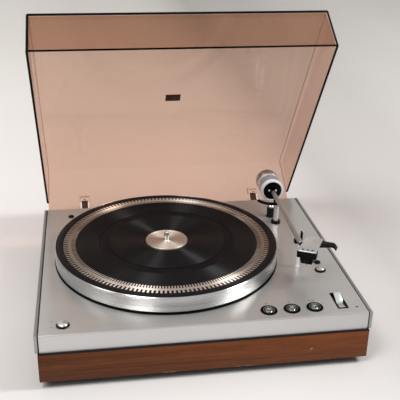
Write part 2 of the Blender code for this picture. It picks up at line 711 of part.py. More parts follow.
def make_platter(axis):
    bore = SPINDLE_RADIUS + GAP
    rim_inside = PLATTER_RADIUS - PLATTER_RIM_WALL
    lip_inside = PLATTER_RADIUS - PLATTER_LIP
    bevel = PLATTER_RADIUS - PLATTER_EDGE
    profile = [(bore, PLATE_BOTTOM), (rim_inside, PLATE_BOTTOM), (rim_inside, RIM_BOTTOM)]
    profile += [(bevel, RIM_BOTTOM), (PLATTER_RADIUS, RIM_BOTTOM + PLATTER_EDGE)]
    profile += [(PLATTER_RADIUS, PLATTER_TOP - PLATTER_EDGE), (bevel, PLATTER_TOP)]
    profile += [(lip_inside, PLATTER_TOP), (lip_inside, PLATE_TOP), (bore, PLATE_TOP)]
    place("platter", turned(profile, FINE), "bright", axis)


def make_mat(axis):
    bore = SPINDLE_RADIUS + GAP
    edge = PLATTER_RADIUS - PLATTER_LIP - GAP
    well_radius = DISC_RADIUS + GAP
    well = DISC_BOTTOM - GAP
    groove = MAT_TOP + STROBE_RISE - STROBE_THICKNESS - GAP
    profile = [(bore, MAT_BOTTOM), (edge, MAT_BOTTOM), (edge, MAT_TOP)]
    profile += [(STROBE_OUTER, MAT_TOP), (STROBE_OUTER, groove), (STROBE_INNER, groove)]
    profile += [(STROBE_INNER, MAT_TOP), (well_radius, MAT_TOP), (well_radius, well), (bore, well)]
    place("platter_mat", turned(profile, FINE), "rubber", axis)


def make_strobe_ring(axis):
    top = MAT_TOP + STROBE_RISE
    shape = sleeve(STROBE_OUTER - GAP, STROBE_INNER + GAP, top - STROBE_THICKNESS, top, FINE)
    place("strobe_ring", shape, "bronze", axis)


def make_centre_disc(axis):
    bore = SPINDLE_RADIUS + GAP
    edge = DISC_RADIUS - DISC_DISH
    dish = DISC_TOP - DISC_DISH
    profile = [(bore, DISC_BOTTOM), (DISC_RADIUS, DISC_BOTTOM), (DISC_RADIUS, dish)]
    profile += [(edge, DISC_TOP), (edge - DISC_DISH, DISC_TOP), (bore, dish)]
    place("centre_disc", turned(profile, ROUND), "bronze", axis)


def make_spindle(axis):
    shoulder = DISC_TOP
    tip = DISC_TOP + SPINDLE_NOSE_HEIGHT
    nose = arc((0, tip - SPINDLE_NOSE_RADIUS), SPINDLE_NOSE_RADIUS, 0, math.pi / 2, 3)
    profile = [(0, SPINDLE_BOTTOM), (SPINDLE_RADIUS, SPINDLE_BOTTOM), (SPINDLE_RADIUS, shoulder)]
    profile += [(SPINDLE_NOSE_RADIUS, shoulder)] + nose[:-1] + [(0, tip)]
    place("spindle", turned(profile, SMALL, closed=False), "bright", axis)


def make_sub_platter(axis):
    bore = SPINDLE_RADIUS + GAP
    web = SUB_PLATTER_TOP - SUB_PLATTER_WEB
    rim = SUB_PLATTER_RADIUS - SUB_PLATTER_RIM
    profile = [(bore, SUB_PLATTER_BOTTOM), (HUB_RADIUS, SUB_PLATTER_BOTTOM), (HUB_RADIUS, web)]
    profile += [(rim, web), (rim, SUB_PLATTER_BOTTOM), (SUB_PLATTER_RADIUS, SUB_PLATTER_BOTTOM)]
    profile += [(SUB_PLATTER_RADIUS, SUB_PLATTER_TOP), (bore, SUB_PLATTER_TOP)]
    place("sub_platter", turned(profile, FINE // 2), "steel", axis)


def pulley_centre_z():
    return (SUB_PLATTER_TOP + SUB_PLATTER_BOTTOM) / 2


def make_motor_pulley(player):
    low = pulley_centre_z() - PULLEY_HEIGHT / 2
    high = low + PULLEY_HEIGHT
    brim = PULLEY_RADIUS + PULLEY_FLANGE
    step = PULLEY_FLANGE_THICKNESS
    foot = DECK_UNDERSIDE - MOTOR_SHAFT_DEPTH
    profile = [(0, foot), (MOTOR_SHAFT_RADIUS, foot), (MOTOR_SHAFT_RADIUS, low), (brim, low)]
    profile += [(brim, low + step), (PULLEY_RADIUS, low + step), (PULLEY_RADIUS, high - step)]
    profile += [(brim, high - step), (brim, high), (0, high)]
    shape = turned(profile, SMALL, closed=False)
    place("motor_pulley", shape, "steel", player, (PULLEY_X, PULLEY_Y, 0))


def make_motor(player):
    top = DECK_UNDERSIDE - GAP
    under_flange = top - MOTOR_FLANGE_THICKNESS
    foot = top - MOTOR_HEIGHT
    bore = MOTOR_SHAFT_RADIUS + GAP
    bore_end = DECK_UNDERSIDE - MOTOR_SHAFT_DEPTH - GAP
    profile = [(0, foot), (MOTOR_RADIUS - MOTOR_EDGE, foot), (MOTOR_RADIUS, foot + MOTOR_EDGE)]
    profile += [(MOTOR_RADIUS, under_flange), (MOTOR_FLANGE_RADIUS, under_flange)]
    profile += [(MOTOR_FLANGE_RADIUS, top), (bore, top), (bore, bore_end), (0, bore_end)]
    place("motor", turned(profile, ROUND, closed=False), "steel", player, (PULLEY_X, PULLEY_Y, 0))


def belt_loop(offset):
    """The belt's path round both wheels, at an offset from their rims."""
    reach = math.acos((SUB_PLATTER_RADIUS - PULLEY_RADIUS) / PULLEY_DISTANCE)
    wheel = (PLATTER_X, PLATTER_Y)
    pulley = (PULLEY_X, PULLEY_Y)
    start = PULLEY_DIRECTION + reach
    end = PULLEY_DIRECTION + 2 * math.pi - reach
    path = arc(wheel, SUB_PLATTER_RADIUS + offset, start, end, FINE // 2)
    return path + arc(pulley, PULLEY_RADIUS + offset, end, end + 2 * reach, TINY)


def make_belt(player):
    low = pulley_centre_z() - BELT_WIDTH / 2
    shape = ring_z(belt_loop(GAP + BELT_THICKNESS), belt_loop(GAP), low, low + BELT_WIDTH)
    place("drive_belt", shape, "rubber", player)


def make_subchassis(player):
    corners = [SPRINGS["spring_left"], SPRINGS["spring_right"]]
    corners += [(ARM_PIVOT_X, LIFT_POST_Y), (ARM_PIVOT_X, ARM_PIVOT_Y), SPRINGS["spring_rear"]]
    shape = prism_z(rounded(corners, SUBCHASSIS_CORNER), SUBCHASSIS_Z, SUBCHASSIS_TOP)
    plate = place("subchassis", shape, "steel", player)
    low = SUBCHASSIS_Z - OVERRUN
    high = SUBCHASSIS_TOP + OVERRUN
    bore = moved(rod(BEARING_RADIUS + GAP, low, high, ROUND), (PLATTER_X, PLATTER_Y, 0))
    lighter_x = (PLATTER_X + ARM_PIVOT_X) / 2
    lighter_y = (PLATTER_Y + ARM_PIVOT_Y) / 2
    lighter = moved(rod(SUBCHASSIS_HOLE_RADIUS, low, high, ROUND), (lighter_x, lighter_y, 0))
    combine(plate, guide("subchassis_holes", joined(bore, lighter), player))


def make_bearing(player):
    bore = SPINDLE_RADIUS + GAP
    floor = SPINDLE_BOTTOM - GAP
    foot = floor - BEARING_FLOOR
    flange_low = SUBCHASSIS_TOP + GAP
    flange_high = flange_low + BEARING_FLANGE_THICKNESS
    top = SUB_PLATTER_BOTTOM - BEARING_TOP_CLEARANCE
    profile = [(0, foot), (BEARING_RADIUS, foot), (BEARING_RADIUS, flange_low)]
    profile += [(BEARING_FLANGE_RADIUS, flange_low), (BEARING_FLANGE_RADIUS, flange_high)]
    profile += [(BEARING_RADIUS, flange_high), (BEARING_RADIUS, top), (bore, top)]
    profile += [(bore, floor), (0, floor)]
    shape = turned(profile, ROUND, closed=False)
    place("bearing_housing", shape, "steel", player, (PLATTER_X, PLATTER_Y, 0))


def make_springs(player):
    low = COVER_TOP + GAP + SPRING_WIRE
    high = SUBCHASSIS_Z - GAP - SPRING_WIRE
    count = SPRING_TURNS * SPRING_TURN_POINTS
    for name, (x, y) in SPRINGS.items():
        curve = bpy.data.curves.new(name, "CURVE")
        curve.dimensions = "3D"
        curve.bevel_depth = SPRING_WIRE
        curve.bevel_resolution = 0
        curve.use_fill_caps = True
        spline = curve.splines.new("POLY")
        spline.points.add(count)
        for i, point in enumerate(spline.points):
            angle = 2 * math.pi * i / SPRING_TURN_POINTS
            height = low + (high - low) * i / count
            point.co = (SPRING_RADIUS * math.cos(angle), SPRING_RADIUS * math.sin(angle), height, 1)
        curve.materials.append(finish(name, "bright"))
        made = bpy.data.objects.new(name, curve)
        made.parent = player
        made.location = (x, y, 0)
        bpy.context.collection.objects.link(made)


def make_arm_pillar(player):
    foot = SUBCHASSIS_TOP + GAP
    flange = foot + PILLAR_FLANGE_THICKNESS
    top = DECK_TOP + PILLAR_HEIGHT
    knurl_top = top - PILLAR_CAP_HEIGHT
    knurl_low = DECK_TOP
    bore_end = top - PILLAR_BORE_DEPTH
    neck = PILLAR_RADIUS - PILLAR_KNURL_DEPTH
    profile = [(0, foot), (PILLAR_FLANGE_RADIUS, foot), (PILLAR_FLANGE_RADIUS, flange), (neck, flange)]
    profile += [(neck, knurl_low), (PILLAR_RADIUS, knurl_low), (PILLAR_RADIUS, knurl_top)]
    profile += [(neck, knurl_top), (neck, top), (PILLAR_BORE, top), (PILLAR_BORE, bore_end), (0, bore_end)]
    shape = turned(profile, 2 * SMALL, closed=False)
    for vert in shape.verts:
        ridge = round(math.atan2(vert.co.y, vert.co.x) * SMALL / math.pi) % 2
        if ridge and vert.co.xy.length > neck + PILLAR_KNURL_DEPTH / 2 and vert.co.z > flange:
            vert.co.xy *= neck / PILLAR_RADIUS
    place("arm_pillar", shape, "black", player, (ARM_PIVOT_X, ARM_PIVOT_Y, 0))


def make_yoke(yoke_axis):
    seat = PILLAR_HEIGHT - ARM_PIVOT_HEIGHT + GAP
    bar_low = -YOKE_BAR_DEPTH
    bar_high = bar_low + YOKE_BAR_THICKNESS
    foot = seat - YOKE_SPINDLE_LENGTH
    profile = [(0, foot), (YOKE_SPINDLE_RADIUS, foot), (YOKE_SPINDLE_RADIUS, seat)]
    profile += [(YOKE_STEM_RADIUS, seat), (YOKE_STEM_RADIUS, bar_low + GAP), (0, bar_low + GAP)]
    half = YOKE_HALF_WIDTH
    depth = YOKE_STEM_RADIUS
    inside = half - YOKE_PRONG
    outline = [(-half, bar_low), (half, bar_low), (half, YOKE_PRONG_TOP), (inside, YOKE_PRONG_TOP)]
    outline += [(inside, bar_high), (-inside, bar_high), (-inside, YOKE_PRONG_TOP)]
    outline += [(-half, YOKE_PRONG_TOP)]
    fork = loft([[(x, y, z) for x, z in outline] for y in (-depth, depth)])
    yoke = place("arm_yoke", fork, "steel", yoke_axis)
    combine(yoke, guide("yoke_stem", turned(profile, SMALL, closed=False), yoke_axis), "UNION")
    hole = along_x(rod(AXLE_RADIUS + GAP, -half - OVERRUN, half + OVERRUN))
    combine(yoke, guide("yoke_bores", hole, yoke_axis))


def make_pivot_housing(arm_axis):
    outer = HOUSING_RADIUS
    inner = outer - HOUSING_WALL
    front = -HOUSING_FRONT
    face_back = front + FACE_RECESS + FACE_THICKNESS + GAP
    ring_end = front + HOUSING_RING_LENGTH
    groove_end = ring_end + HOUSING_GROOVE
    groove = outer - HOUSING_GROOVE
    back = HOUSING_LENGTH
    inside_back = back - HOUSING_BACK_WALL
    nose_radius = outer - HOUSING_ROUND
    nose = arc((nose_radius, front + HOUSING_ROUND), HOUSING_ROUND, -math.pi / 2, 0, 3)
    profile = [(FACE_RADIUS, face_back), (FACE_RADIUS, front)] + nose
    profile += [(outer, ring_end), (groove, ring_end), (groove, groove_end), (outer, groove_end)]
    profile += [(outer, back), (STUB_RADIUS, back), (STUB_RADIUS, back + STUB_LENGTH)]
    profile += [(0, back + STUB_LENGTH)]
    profile = [(0, inside_back), (inner, inside_back), (inner, face_back)] + profile
    shape = along_y(turned(profile, 2 * SMALL, closed=False))
    housing = place("pivot_housing", shape, "satin", arm_axis)
    reach = inner + HOUSING_WALL / 2
    axle = along_x(rod(AXLE_RADIUS, -reach, reach))
    combine(housing, guide("tilt_axle", axle, arm_axis), "UNION")
    slot_radius = YOKE_STEM_RADIUS + SLIDE_GAP
    slot = rod(slot_radius, -outer - OVERRUN, -YOKE_BAR_DEPTH - SLIDE_GAP, SMALL)
    combine(housing, guide("stem_slot", slot, arm_axis))


def make_pivot_face(arm_axis):
    front = -HOUSING_FRONT + FACE_RECESS
    shape = sleeve(FACE_RADIUS - GAP, TUBE_RADIUS + GAP, front, front + FACE_THICKNESS, 2 * SMALL)
    place("pivot_face", along_y(shape), "black", arm_axis)


def make_force_dial(arm_axis):
    outer = HOUSING_RADIUS + DIAL_RISE
    shape = sleeve(outer, STUB_RADIUS + GAP, DIAL_START, DIAL_START + DIAL_LENGTH, 2 * SMALL)
    place("force_dial", along_y(shape), "bright", arm_axis)


def make_counterweight(arm_axis):
    bore = STUB_RADIUS + GAP
    inner_end = WEIGHT_END - WEIGHT_CAP
    edge = HOUSING_RADIUS - WEIGHT_ROUND
    tail = arc((edge, WEIGHT_END - WEIGHT_ROUND), WEIGHT_ROUND, 0, math.pi / 2, 3)
    profile = [(0, inner_end), (bore, inner_end), (bore, WEIGHT_START), (HOUSING_RADIUS, WEIGHT_START)]
    profile += tail + [(0, WEIGHT_END)]
    place("counterweight", along_y(turned(profile, 2 * SMALL, closed=False)), "satin", arm_axis)


def lug_bottom():
    """Depth under the tube's middle line at which the lug meets the raised lift bar."""
    rise = LIFT_BAR_RADIUS * math.sin(ARM_SLOPE)
    return -(ARM_PIVOT_HEIGHT + rise - LIFT_BAR_HEIGHT - GAP) / math.cos(ARM_SLOPE)


def make_arm_tube(arm_axis, shell_space):
    shape = sleeve(TUBE_RADIUS, TUBE_RADIUS - TUBE_WALL, TUBE_START, TUBE_END, TINY + 4)
    bmesh.ops.rotate(shape, matrix=Matrix.Rotation(math.pi / 2, 3, "X"), verts=shape.verts)
    tube = place("arm_tube", shape, "bright", arm_axis)
    top = -TUBE_RADIUS + TUBE_WALL / 2
    low = (-LUG_HALF_WIDTH, -LIFT_BAR_RADIUS - LUG_HALF_LENGTH, lug_bottom())
    lug = box(low, (LUG_HALF_WIDTH, -LIFT_BAR_RADIUS + LUG_HALF_LENGTH, top))
    combine(tube, guide("lift_lug", lug, arm_axis), "UNION")
    combine(tube, shell_space)


def shell_outline(grow):
    half_width = HEADSHELL_WIDTH / 2 - HEADSHELL_CORNER
    half_length = HEADSHELL_LENGTH / 2 - HEADSHELL_CORNER
    corners = rectangle(-half_width, half_width, -half_length, half_length)
    return rounded(corners, HEADSHELL_CORNER + grow, 3)


def make_headshell(shell_axis):
    shape = prism_z(shell_outline(0), SHELL_BOTTOM, HEADSHELL_TOP)
    shell = place("headshell", shape, "brushed", shell_axis)
    y = -HEADSHELL_LENGTH / 2 + SHELL_HOLE_INSET
    low = SHELL_BOTTOM - OVERRUN
    high = HEADSHELL_TOP + OVERRUN
    spots = [(i * SHELL_HOLE_PITCH, y, 0) for i in (-1, 0, 1)]
    drills = [moved(rod(SHELL_HOLE_RADIUS, low, high), spot) for spot in spots]
    combine(shell, guide("shell_holes", joined(*drills), shell_axis))


def make_shell_space(shell_axis):
    reach = TUBE_RADIUS + OVERRUN
    return guide("shell_space", prism_z(shell_outline(GAP), -reach, reach), shell_axis)


def make_finger_lift(shell_axis):
    root = HEADSHELL_WIDTH / 2 + GAP
    bend = root + FINGER_REACH
    tip = bend + FINGER_LIP_REACH
    rear = HEADSHELL_LENGTH / 2 - FINGER_REAR_INSET
    stations = [
        (root, FINGER_WIDTH_ROOT, FINGER_TOP),
        (bend, FINGER_WIDTH_BEND, FINGER_TOP),
        (tip, FINGER_LIP_WIDTH, FINGER_TOP - FINGER_LIP_DROP),
    ]
    sections = []
    for x, width, top in stations:
        low = top - FINGER_THICKNESS
        front = rear - width
        sections.append([(x, front, low), (x, rear, low), (x, rear, top), (x, front, top)])
    place("finger_lift", loft(sections), "black", shell_axis)


def make_cartridge(shell_axis):
    front = -HEADSHELL_LENGTH / 2
    back = front + CARTRIDGE_LENGTH
    step_y = front + CARTRIDGE_STEP_LENGTH
    step_z = CARTRIDGE_BOTTOM + CARTRIDGE_STEP_HEIGHT
    outline = [(front, CARTRIDGE_TOP), (front, step_z), (step_y, step_z), (step_y, CARTRIDGE_BOTTOM)]
    outline += [(back, CARTRIDGE_BOTTOM), (back, CARTRIDGE_TOP)]
    half = CARTRIDGE_WIDTH / 2
    place("cartridge", prism_x(outline, -half, half), "black", shell_axis)


def make_stylus(shell_axis):
    """The stylus grip under the cartridge's step, with its cantilever and tip."""
    front = -HEADSHELL_LENGTH / 2
    back = front + CARTRIDGE_STEP_LENGTH - GAP
    top = CARTRIDGE_BOTTOM + CARTRIDGE_STEP_HEIGHT - GAP
    low = top - STYLUS_GRIP_HEIGHT
    tip_y = front + STYLUS_SETBACK
    tip = -STYLUS_TIP_DROP
    half = STYLUS_GRIP_WIDTH / 2
    outline = [(front, top), (front, (top + low) / 2), (back, low), (back, top)]
    grip = place("stylus", prism_x(outline, -half, half), "black", shell_axis)
    thick = STYLUS_SHANK
    sections = []
    for y, z in ((back, low), (tip_y, tip)):
        high = z + thick
        sections.append([(-thick, y, high), (thick, y, high), (thick, y, z), (-thick, y, z)])
    combine(grip, guide("cantilever", loft(sections), shell_axis), "UNION")


def make_lift(player):
    low = SUBCHASSIS_TOP + GAP
    high = DECK_TOP + LIFT_GUIDE_RISE
    shape = sleeve(LIFT_GUIDE_RADIUS, LIFT_POST_RADIUS + GAP, low, high, SMALL)
    place("lift_guide", shape, "black", player, (LIFT_POST_X, LIFT_POST_Y, 0))
    bar_low = LIFT_BAR_TOP - LIFT_BAR_THICKNESS
    post_low = DECK_UNDERSIDE - LIFT_POST_BELOW_DECK
    shape = rod(LIFT_POST_RADIUS, post_low, bar_low - GAP, SMALL)
    place("lift_post", shape, "bright", player, (LIFT_POST_X, LIFT_POST_Y, 0))
    half = LIFT_BAR_WIDTH / 2
    pivot = (ARM_PIVOT_X, ARM_PIVOT_Y)
    steps = LIFT_BAR_STEPS
    outline = arc(pivot, LIFT_BAR_RADIUS + half, LIFT_BAR_START, LIFT_BAR_END, steps)
    outline += arc(pivot, LIFT_BAR_RADIUS - half, LIFT_BAR_END, LIFT_BAR_START, steps)
    place("lift_bar", prism_z(outline, bar_low, LIFT_BAR_TOP), "black", player)


def make_arm_rest(player):
    foot = DECK_TOP + GAP
    base = foot + REST_BASE_HEIGHT
    top = DECK_TOP + CLIP_FLOOR_HEIGHT - GAP
    profile = [(0, foot), (REST_BASE_RADIUS, foot), (REST_BASE_RADIUS, base)]
    profile += [(REST_POST_RADIUS, base), (REST_POST_RADIUS, top), (0, top)]
    shape = turned(profile, SMALL, closed=False)
    place("rest_post", shape, "bright", player, (REST_POST_X, REST_POST_Y, 0))
    left = CLIP_LEFT_X
    inner_left = left + CLIP_WALL
    inner_right = inner_left + CLIP_OPENING
    right = inner_right + CLIP_WALL
    low = DECK_TOP + CLIP_FLOOR_HEIGHT
    floor = low + CLIP_WALL
    short = DECK_TOP + CLIP_LOW_JAW_HEIGHT
    tall = DECK_TOP + CLIP_TALL_JAW_HEIGHT
    outline = [(left, low), (right, low), (right, tall), (inner_right, tall), (inner_right, floor)]
    outline += [(inner_left, floor), (inner_left, short), (left, short)]
    ends = (REST_POST_Y - CLIP_HALF_DEPTH, REST_POST_Y + CLIP_HALF_DEPTH)
    shape = loft([[(x, y, z) for x, z in outline] for y in ends])
    place("rest_clip", shape, "black", player)


def button_places():
    return [BUTTON_X + i * BUTTON_PITCH for i in (-1, 0, 1)]


def make_button_bezel(player):
    """A strip under the deck with a collar up through it round each button."""
    high = DECK_UNDERSIDE - GAP
    low = high - BEZEL_PLATE
    margin = BUTTON_RING_RADIUS + BEZEL_MARGIN
    x_low = min(button_places()) - margin
    x_high = max(button_places()) + margin
    shape = box((x_low, BUTTON_Y - margin, low), (x_high, BUTTON_Y + margin, high))
    bezel = place("button_bezel", shape, "black", player)
    top = DECK_TOP + BUTTON_RING_RISE
    foot = low + BEZEL_PLATE / 2
    collars = [moved(rod(BUTTON_RING_RADIUS, foot, top, ROUND), (x, BUTTON_Y, 0)) for x in button_places()]
    combine(bezel, guide("button_collars", joined(*collars), player), "UNION")
    bore = BUTTON_RADIUS + GAP
    under = low - OVERRUN
    over = top + OVERRUN
    drills = [moved(rod(bore, under, over, ROUND), (x, BUTTON_Y, 0)) for x in button_places()]
    combine(bezel, guide("button_bores", joined(*drills), player))


def button_foot():
    return DECK_TOP - BUTTON_SKIRT - BUTTON_STEM_LENGTH


def make_buttons(player):
    top = DECK_TOP + BUTTON_RISE
    skirt = DECK_TOP - BUTTON_SKIRT
    dish = top - BUTTON_DISH
    edge = BUTTON_RADIUS - BUTTON_DISH
    profile = [(0, button_foot()), (BUTTON_STEM_RADIUS, button_foot()), (BUTTON_STEM_RADIUS, skirt)]
    profile += [(BUTTON_RADIUS, skirt), (BUTTON_RADIUS, top - BUTTON_DISH / 2), (edge, top)]
    profile += [(edge / 2, dish + BUTTON_DISH / 4), (0, dish)]
    names = ("button_left", "button_middle", "button_right")
    for name, x in zip(names, button_places()):
        place(name, turned(profile, ROUND, closed=False), "satin", player, (x, BUTTON_Y, 0))


def make_circuit_board(player):
    """The board hangs under the button strip on four posts and carries a switch per button."""
    switch_top = button_foot() - BUTTON_TRAVEL - GAP
    board_top = switch_top - SWITCH_SIZE / 2
    low = board_top - CIRCUIT_SHEET
    half_x = BOARD_SIZE[0] / 2
    half_y = BOARD_SIZE[1] / 2
    shape = box((BOARD_X - half_x, BOARD_Y - half_y, low), (BOARD_X + half_x, BOARD_Y + half_y, board_top))
    board = place("circuit_board", shape, "board", player)
    inside = low + CIRCUIT_SHEET / 2
    half = SWITCH_SIZE / 2
    parts = []
    for x in button_places():
        low_corner = (x - half, BUTTON_Y - half / 2, inside)
        parts.append(box(low_corner, (x + half, BUTTON_Y + half / 2, switch_top)))
    post_top = DECK_UNDERSIDE - GAP
    post_y = BOARD_Y + half_y - 2 * BOARD_POST_RADIUS
    for side in (-1, 1):
        post_x = BOARD_X + side * (half_x - 2 * BOARD_POST_RADIUS)
        parts.append(moved(rod(BOARD_POST_RADIUS, inside, post_top, TINY), (post_x, post_y, 0)))
    combine(board, guide("board_parts", joined(*parts), player), "UNION")


def make_cue_bezel(player):
    half_width = CUE_WIDTH / 2
    half_length = CUE_LENGTH / 2
    inner_width = half_width - CUE_WALL
    inner_length = half_length - CUE_WALL
    outer = rectangle(-half_width, half_width, -half_length, half_length)
    inner = rectangle(-inner_width, inner_width, -inner_length, inner_length)
    shape = ring_z(outer, inner, DECK_TOP - CUE_DEPTH, DECK_TOP + CUE_RISE)
    bezel = place("cue_bezel", shape, "black", player, (CUE_X, CUE_Y, 0))
    reach = half_width + OVERRUN
    hole = along_x(rod(ROCKER_PIVOT_RADIUS + GAP, -reach, reach))
    combine(bezel, guide("cue_bores", hole, player, (CUE_X, CUE_Y, ROCKER_PIVOT_Z)))


def make_cue_rocker(player):
    half_width = CUE_WIDTH / 2 - CUE_WALL - GAP
    half = ROCKER_LENGTH / 2
    top = ROCKER_PIVOT_DROP
    under = top - ROCKER_THICKNESS
    belly = top - ROCKER_BELLY
    outline = [(-half, under), (-ROCKER_BELLY_HALF, belly), (ROCKER_BELLY_HALF, belly), (half, under)]
    outline += [(half, top), (-half, top)]
    at = (CUE_X, CUE_Y, ROCKER_PIVOT_Z)
    tilt = (ROCKER_TILT, 0, 0)
    rocker = place("cue_rocker", prism_x(outline, -half_width, half_width), "bright", player, at, tilt)
    reach = CUE_WIDTH / 2 - GAP
    pin = along_x(rod(ROCKER_PIVOT_RADIUS, -reach, reach))
    combine(rocker, guide("rocker_pin", pin, player, at, tilt), "UNION")


def knob_profile(radius):
    """A domed cap on a black skirt, with a stem down through the deck."""
    foot = DECK_TOP - KNOB_STEM_LENGTH
    low = DECK_TOP + GAP
    skirt = DECK_TOP + KNOB_SKIRT_RISE
    top = DECK_TOP + KNOB_RISE
    wall = (skirt + top) / 2
    profile = [(0, foot), (KNOB_STEM_RADIUS, foot), (KNOB_STEM_RADIUS, low)]
    profile += [(radius + KNOB_SKIRT_RADIUS - KNOB_RADIUS, low)]
    profile += [(radius + KNOB_SKIRT_RADIUS - KNOB_RADIUS, skirt), (radius, skirt), (radius, wall)]
    for share in (0.25, 0.5, 0.75):
        angle = share * math.pi / 2
        profile.append((radius * math.cos(angle), wall + (top - wall) * math.sin(angle)))
    return profile + [(0, top)]


def make_knobs(player):
    shape = turned(knob_profile(KNOB_RADIUS), ROUND, closed=False)
    place("power_knob", shape, "bright", player, (KNOB_X, KNOB_Y, 0))
    shape = turned(knob_profile(DIAL_KNOB_RADIUS), ROUND, closed=False)
    place("antiskate_dial", shape, "bright", player, (DIAL_KNOB_X, DIAL_KNOB_Y, 0))


def make_screws(player):
    foot = DECK_TOP - SCREW_SHANK_LENGTH
    low = DECK_TOP + GAP
    top = low + SCREW_HEAD_HEIGHT
    edge = SCREW_HEAD_RADIUS - SCREW_SLOT_DEPTH
    profile = [(0, foot), (SCREW_SHANK_RADIUS, foot), (SCREW_SHANK_RADIUS, low)]
    profile += [(SCREW_HEAD_RADIUS, low), (SCREW_HEAD_RADIUS, top - SCREW_SLOT_DEPTH), (edge, top), (0, top)]
    slot_low = (-SCREW_HEAD_RADIUS, -SCREW_SLOT_WIDTH / 2, top - SCREW_SLOT_DEPTH)
    slot_high = (SCREW_HEAD_RADIUS, SCREW_SLOT_WIDTH / 2, top + OVERRUN)
    for name, (x, y) in SCREWS.items():
        screw = place(name, turned(profile, SMALL, closed=False), "black", player, (x, y, 0))
        combine(screw, guide(name + "_slot", box(slot_low, slot_high), player, (x, y, 0)))


def make_lid(lid_axis):
    half_width = LID_WIDTH / 2
    half_depth = LID_DEPTH / 2
    low = (-half_width, -half_depth, LID_BOTTOM)
    shape = box(low, (half_width, half_depth, LID_TOP), LID_EDGE)
    lid = place("dust_cover", moved(shape, (0, -HINGE_Y, -HINGE_HEIGHT)), "smoke", lid_axis)
    inner_width = half_width - LID_WALL
    inner_depth = half_depth - LID_WALL
    low = (-inner_width, -inner_depth, LID_BOTTOM - OVERRUN)
    hollow = box(low, (inner_width, inner_depth, LID_TOP - LID_WALL))
    combine(lid, guide("lid_hollow", moved(hollow, (0, -HINGE_Y, -HINGE_HEIGHT)), lid_axis))
    reach = OVERRUN + LID_WALL
    drills = []
    for side in (-1, 1):
        drill = along_y(rod(HINGE_STUD_RADIUS + GAP, half_depth - reach, half_depth + OVERRUN))
        drills.append(moved(drill, (side * HINGE_X, -HINGE_Y, stud_z() - HINGE_HEIGHT)))
    combine(lid, guide("stud_holes", joined(*drills), lid_axis))


def stud_z():
    return LID_BOTTOM + HINGE_PAD_RISE / 2


def make_lid_badge(lid_axis):
    """A bare plate where the cover carries its plate, on the outside of the top."""
    low_z = LID_TOP + GAP
    low = (-BADGE_WIDTH / 2, -BADGE_LENGTH / 2, low_z)
    shape = box(low, (BADGE_WIDTH / 2, BADGE_LENGTH / 2, low_z + BADGE_THICKNESS))
    place("lid_badge", moved(shape, (0, -HINGE_Y, -HINGE_HEIGHT)), "badge", lid_axis)


def make_hinge_arm(lid_axis, name, x):
    """A knuckle on the pin, a bar up behind the deck, and a pad with a stud through the cover."""
    half = HINGE_ARM_WIDTH / 2
    outer_face = LID_DEPTH / 2 - HINGE_Y + GAP
    back = outer_face + HINGE_ARM_THICKNESS
    top = LID_BOTTOM + HINGE_PAD_RISE - HINGE_HEIGHT
    radius = HINGE_KNUCKLE_RADIUS
    outline = arc((0, 0), radius, math.pi, 2 * math.pi + math.pi / 4, 12)
    outline += [(back, 2 * radius), (back, top), (outer_face, top), (outer_face, 2 * radius)]
    arm = place(name, prism_x(outline, x - half, x + half), "black", lid_axis)
    reach = half + OVERRUN
    bore = moved(along_x(rod(HINGE_PIN_RADIUS + GAP, -reach, reach, SMALL)), (x, 0, 0))
    combine(arm, guide(name + "_bore", bore, lid_axis))
    wall_inside = outer_face - GAP - LID_WALL - GAP
    head_end = wall_inside - HINGE_STUD_HEAD
    inside = outer_face + HINGE_ARM_THICKNESS / 2
    profile = [(0, head_end), (HINGE_STUD_HEAD_RADIUS, head_end), (HINGE_STUD_HEAD_RADIUS, wall_inside)]
    profile += [(HINGE_STUD_RADIUS, wall_inside), (HINGE_STUD_RADIUS, inside), (0, inside)]
    stud = moved(along_y(turned(profile, TINY, closed=False)), (x, 0, stud_z() - HINGE_HEIGHT))
    combine(arm, guide(name + "_stud", stud, lid_axis), "UNION")


def make_hinge_base(player, name, x):
    """A plate on the back of the plinth with two ears and the pin between them."""
    face = PLINTH_DEPTH / 2 + GAP
    plate_back = face + HINGE_PLATE_THICKNESS
    ear_inner = HINGE_ARM_WIDTH / 2 + GAP
    ear_outer = ear_inner + HINGE_EAR
    half = ear_outer + HINGE_PLATE_MARGIN
    low = (x - half, face, HINGE_HEIGHT - HINGE_PLATE_BELOW)
    high = (x + half, plate_back, HINGE_HEIGHT + HINGE_PLATE_ABOVE)
    base = place(name, box(low, high), "black", player)
    radius = HINGE_KNUCKLE_RADIUS
    outline = [(face + HINGE_PLATE_THICKNESS / 2, HINGE_HEIGHT + radius)]
    outline += [(face + HINGE_PLATE_THICKNESS / 2, HINGE_HEIGHT - radius)]
    outline += arc((HINGE_Y, HINGE_HEIGHT), radius, -math.pi / 2, math.pi / 2, 8)
    ears = [prism_x(outline, x - ear_outer, x - ear_inner), prism_x(outline, x + ear_inner, x + ear_outer)]
    combine(base, guide(name + "_ears", joined(*ears), player), "UNION")
    reach = ear_inner + HINGE_EAR / 2
    pin = moved(along_x(rod(HINGE_PIN_RADIUS, -reach, reach, SMALL)), (x, HINGE_Y, HINGE_HEIGHT))
    combine(base, guide(name + "_pin", pin, player), "UNION")


def make_hinges(player, lid_axis):
    for side, x in (("left", -HINGE_X), ("right", HINGE_X)):
        make_hinge_base(player, "hinge_base_" + side, x)
        make_hinge_arm(lid_axis, "hinge_arm_" + side, x)


def make_transformer(player):
    size_x, size_y, size_z = TRANSFORMER_SIZE
    low = COVER_TOP + GAP
    corner = (TRANSFORMER_X - size_x / 2, TRANSFORMER_Y - size_y / 2, low)
    opposite = (TRANSFORMER_X + size_x / 2, TRANSFORMER_Y + size_y / 2, low + size_z)
    place("transformer", box(corner, opposite, TRANSFORMER_EDGE), "copper", player)


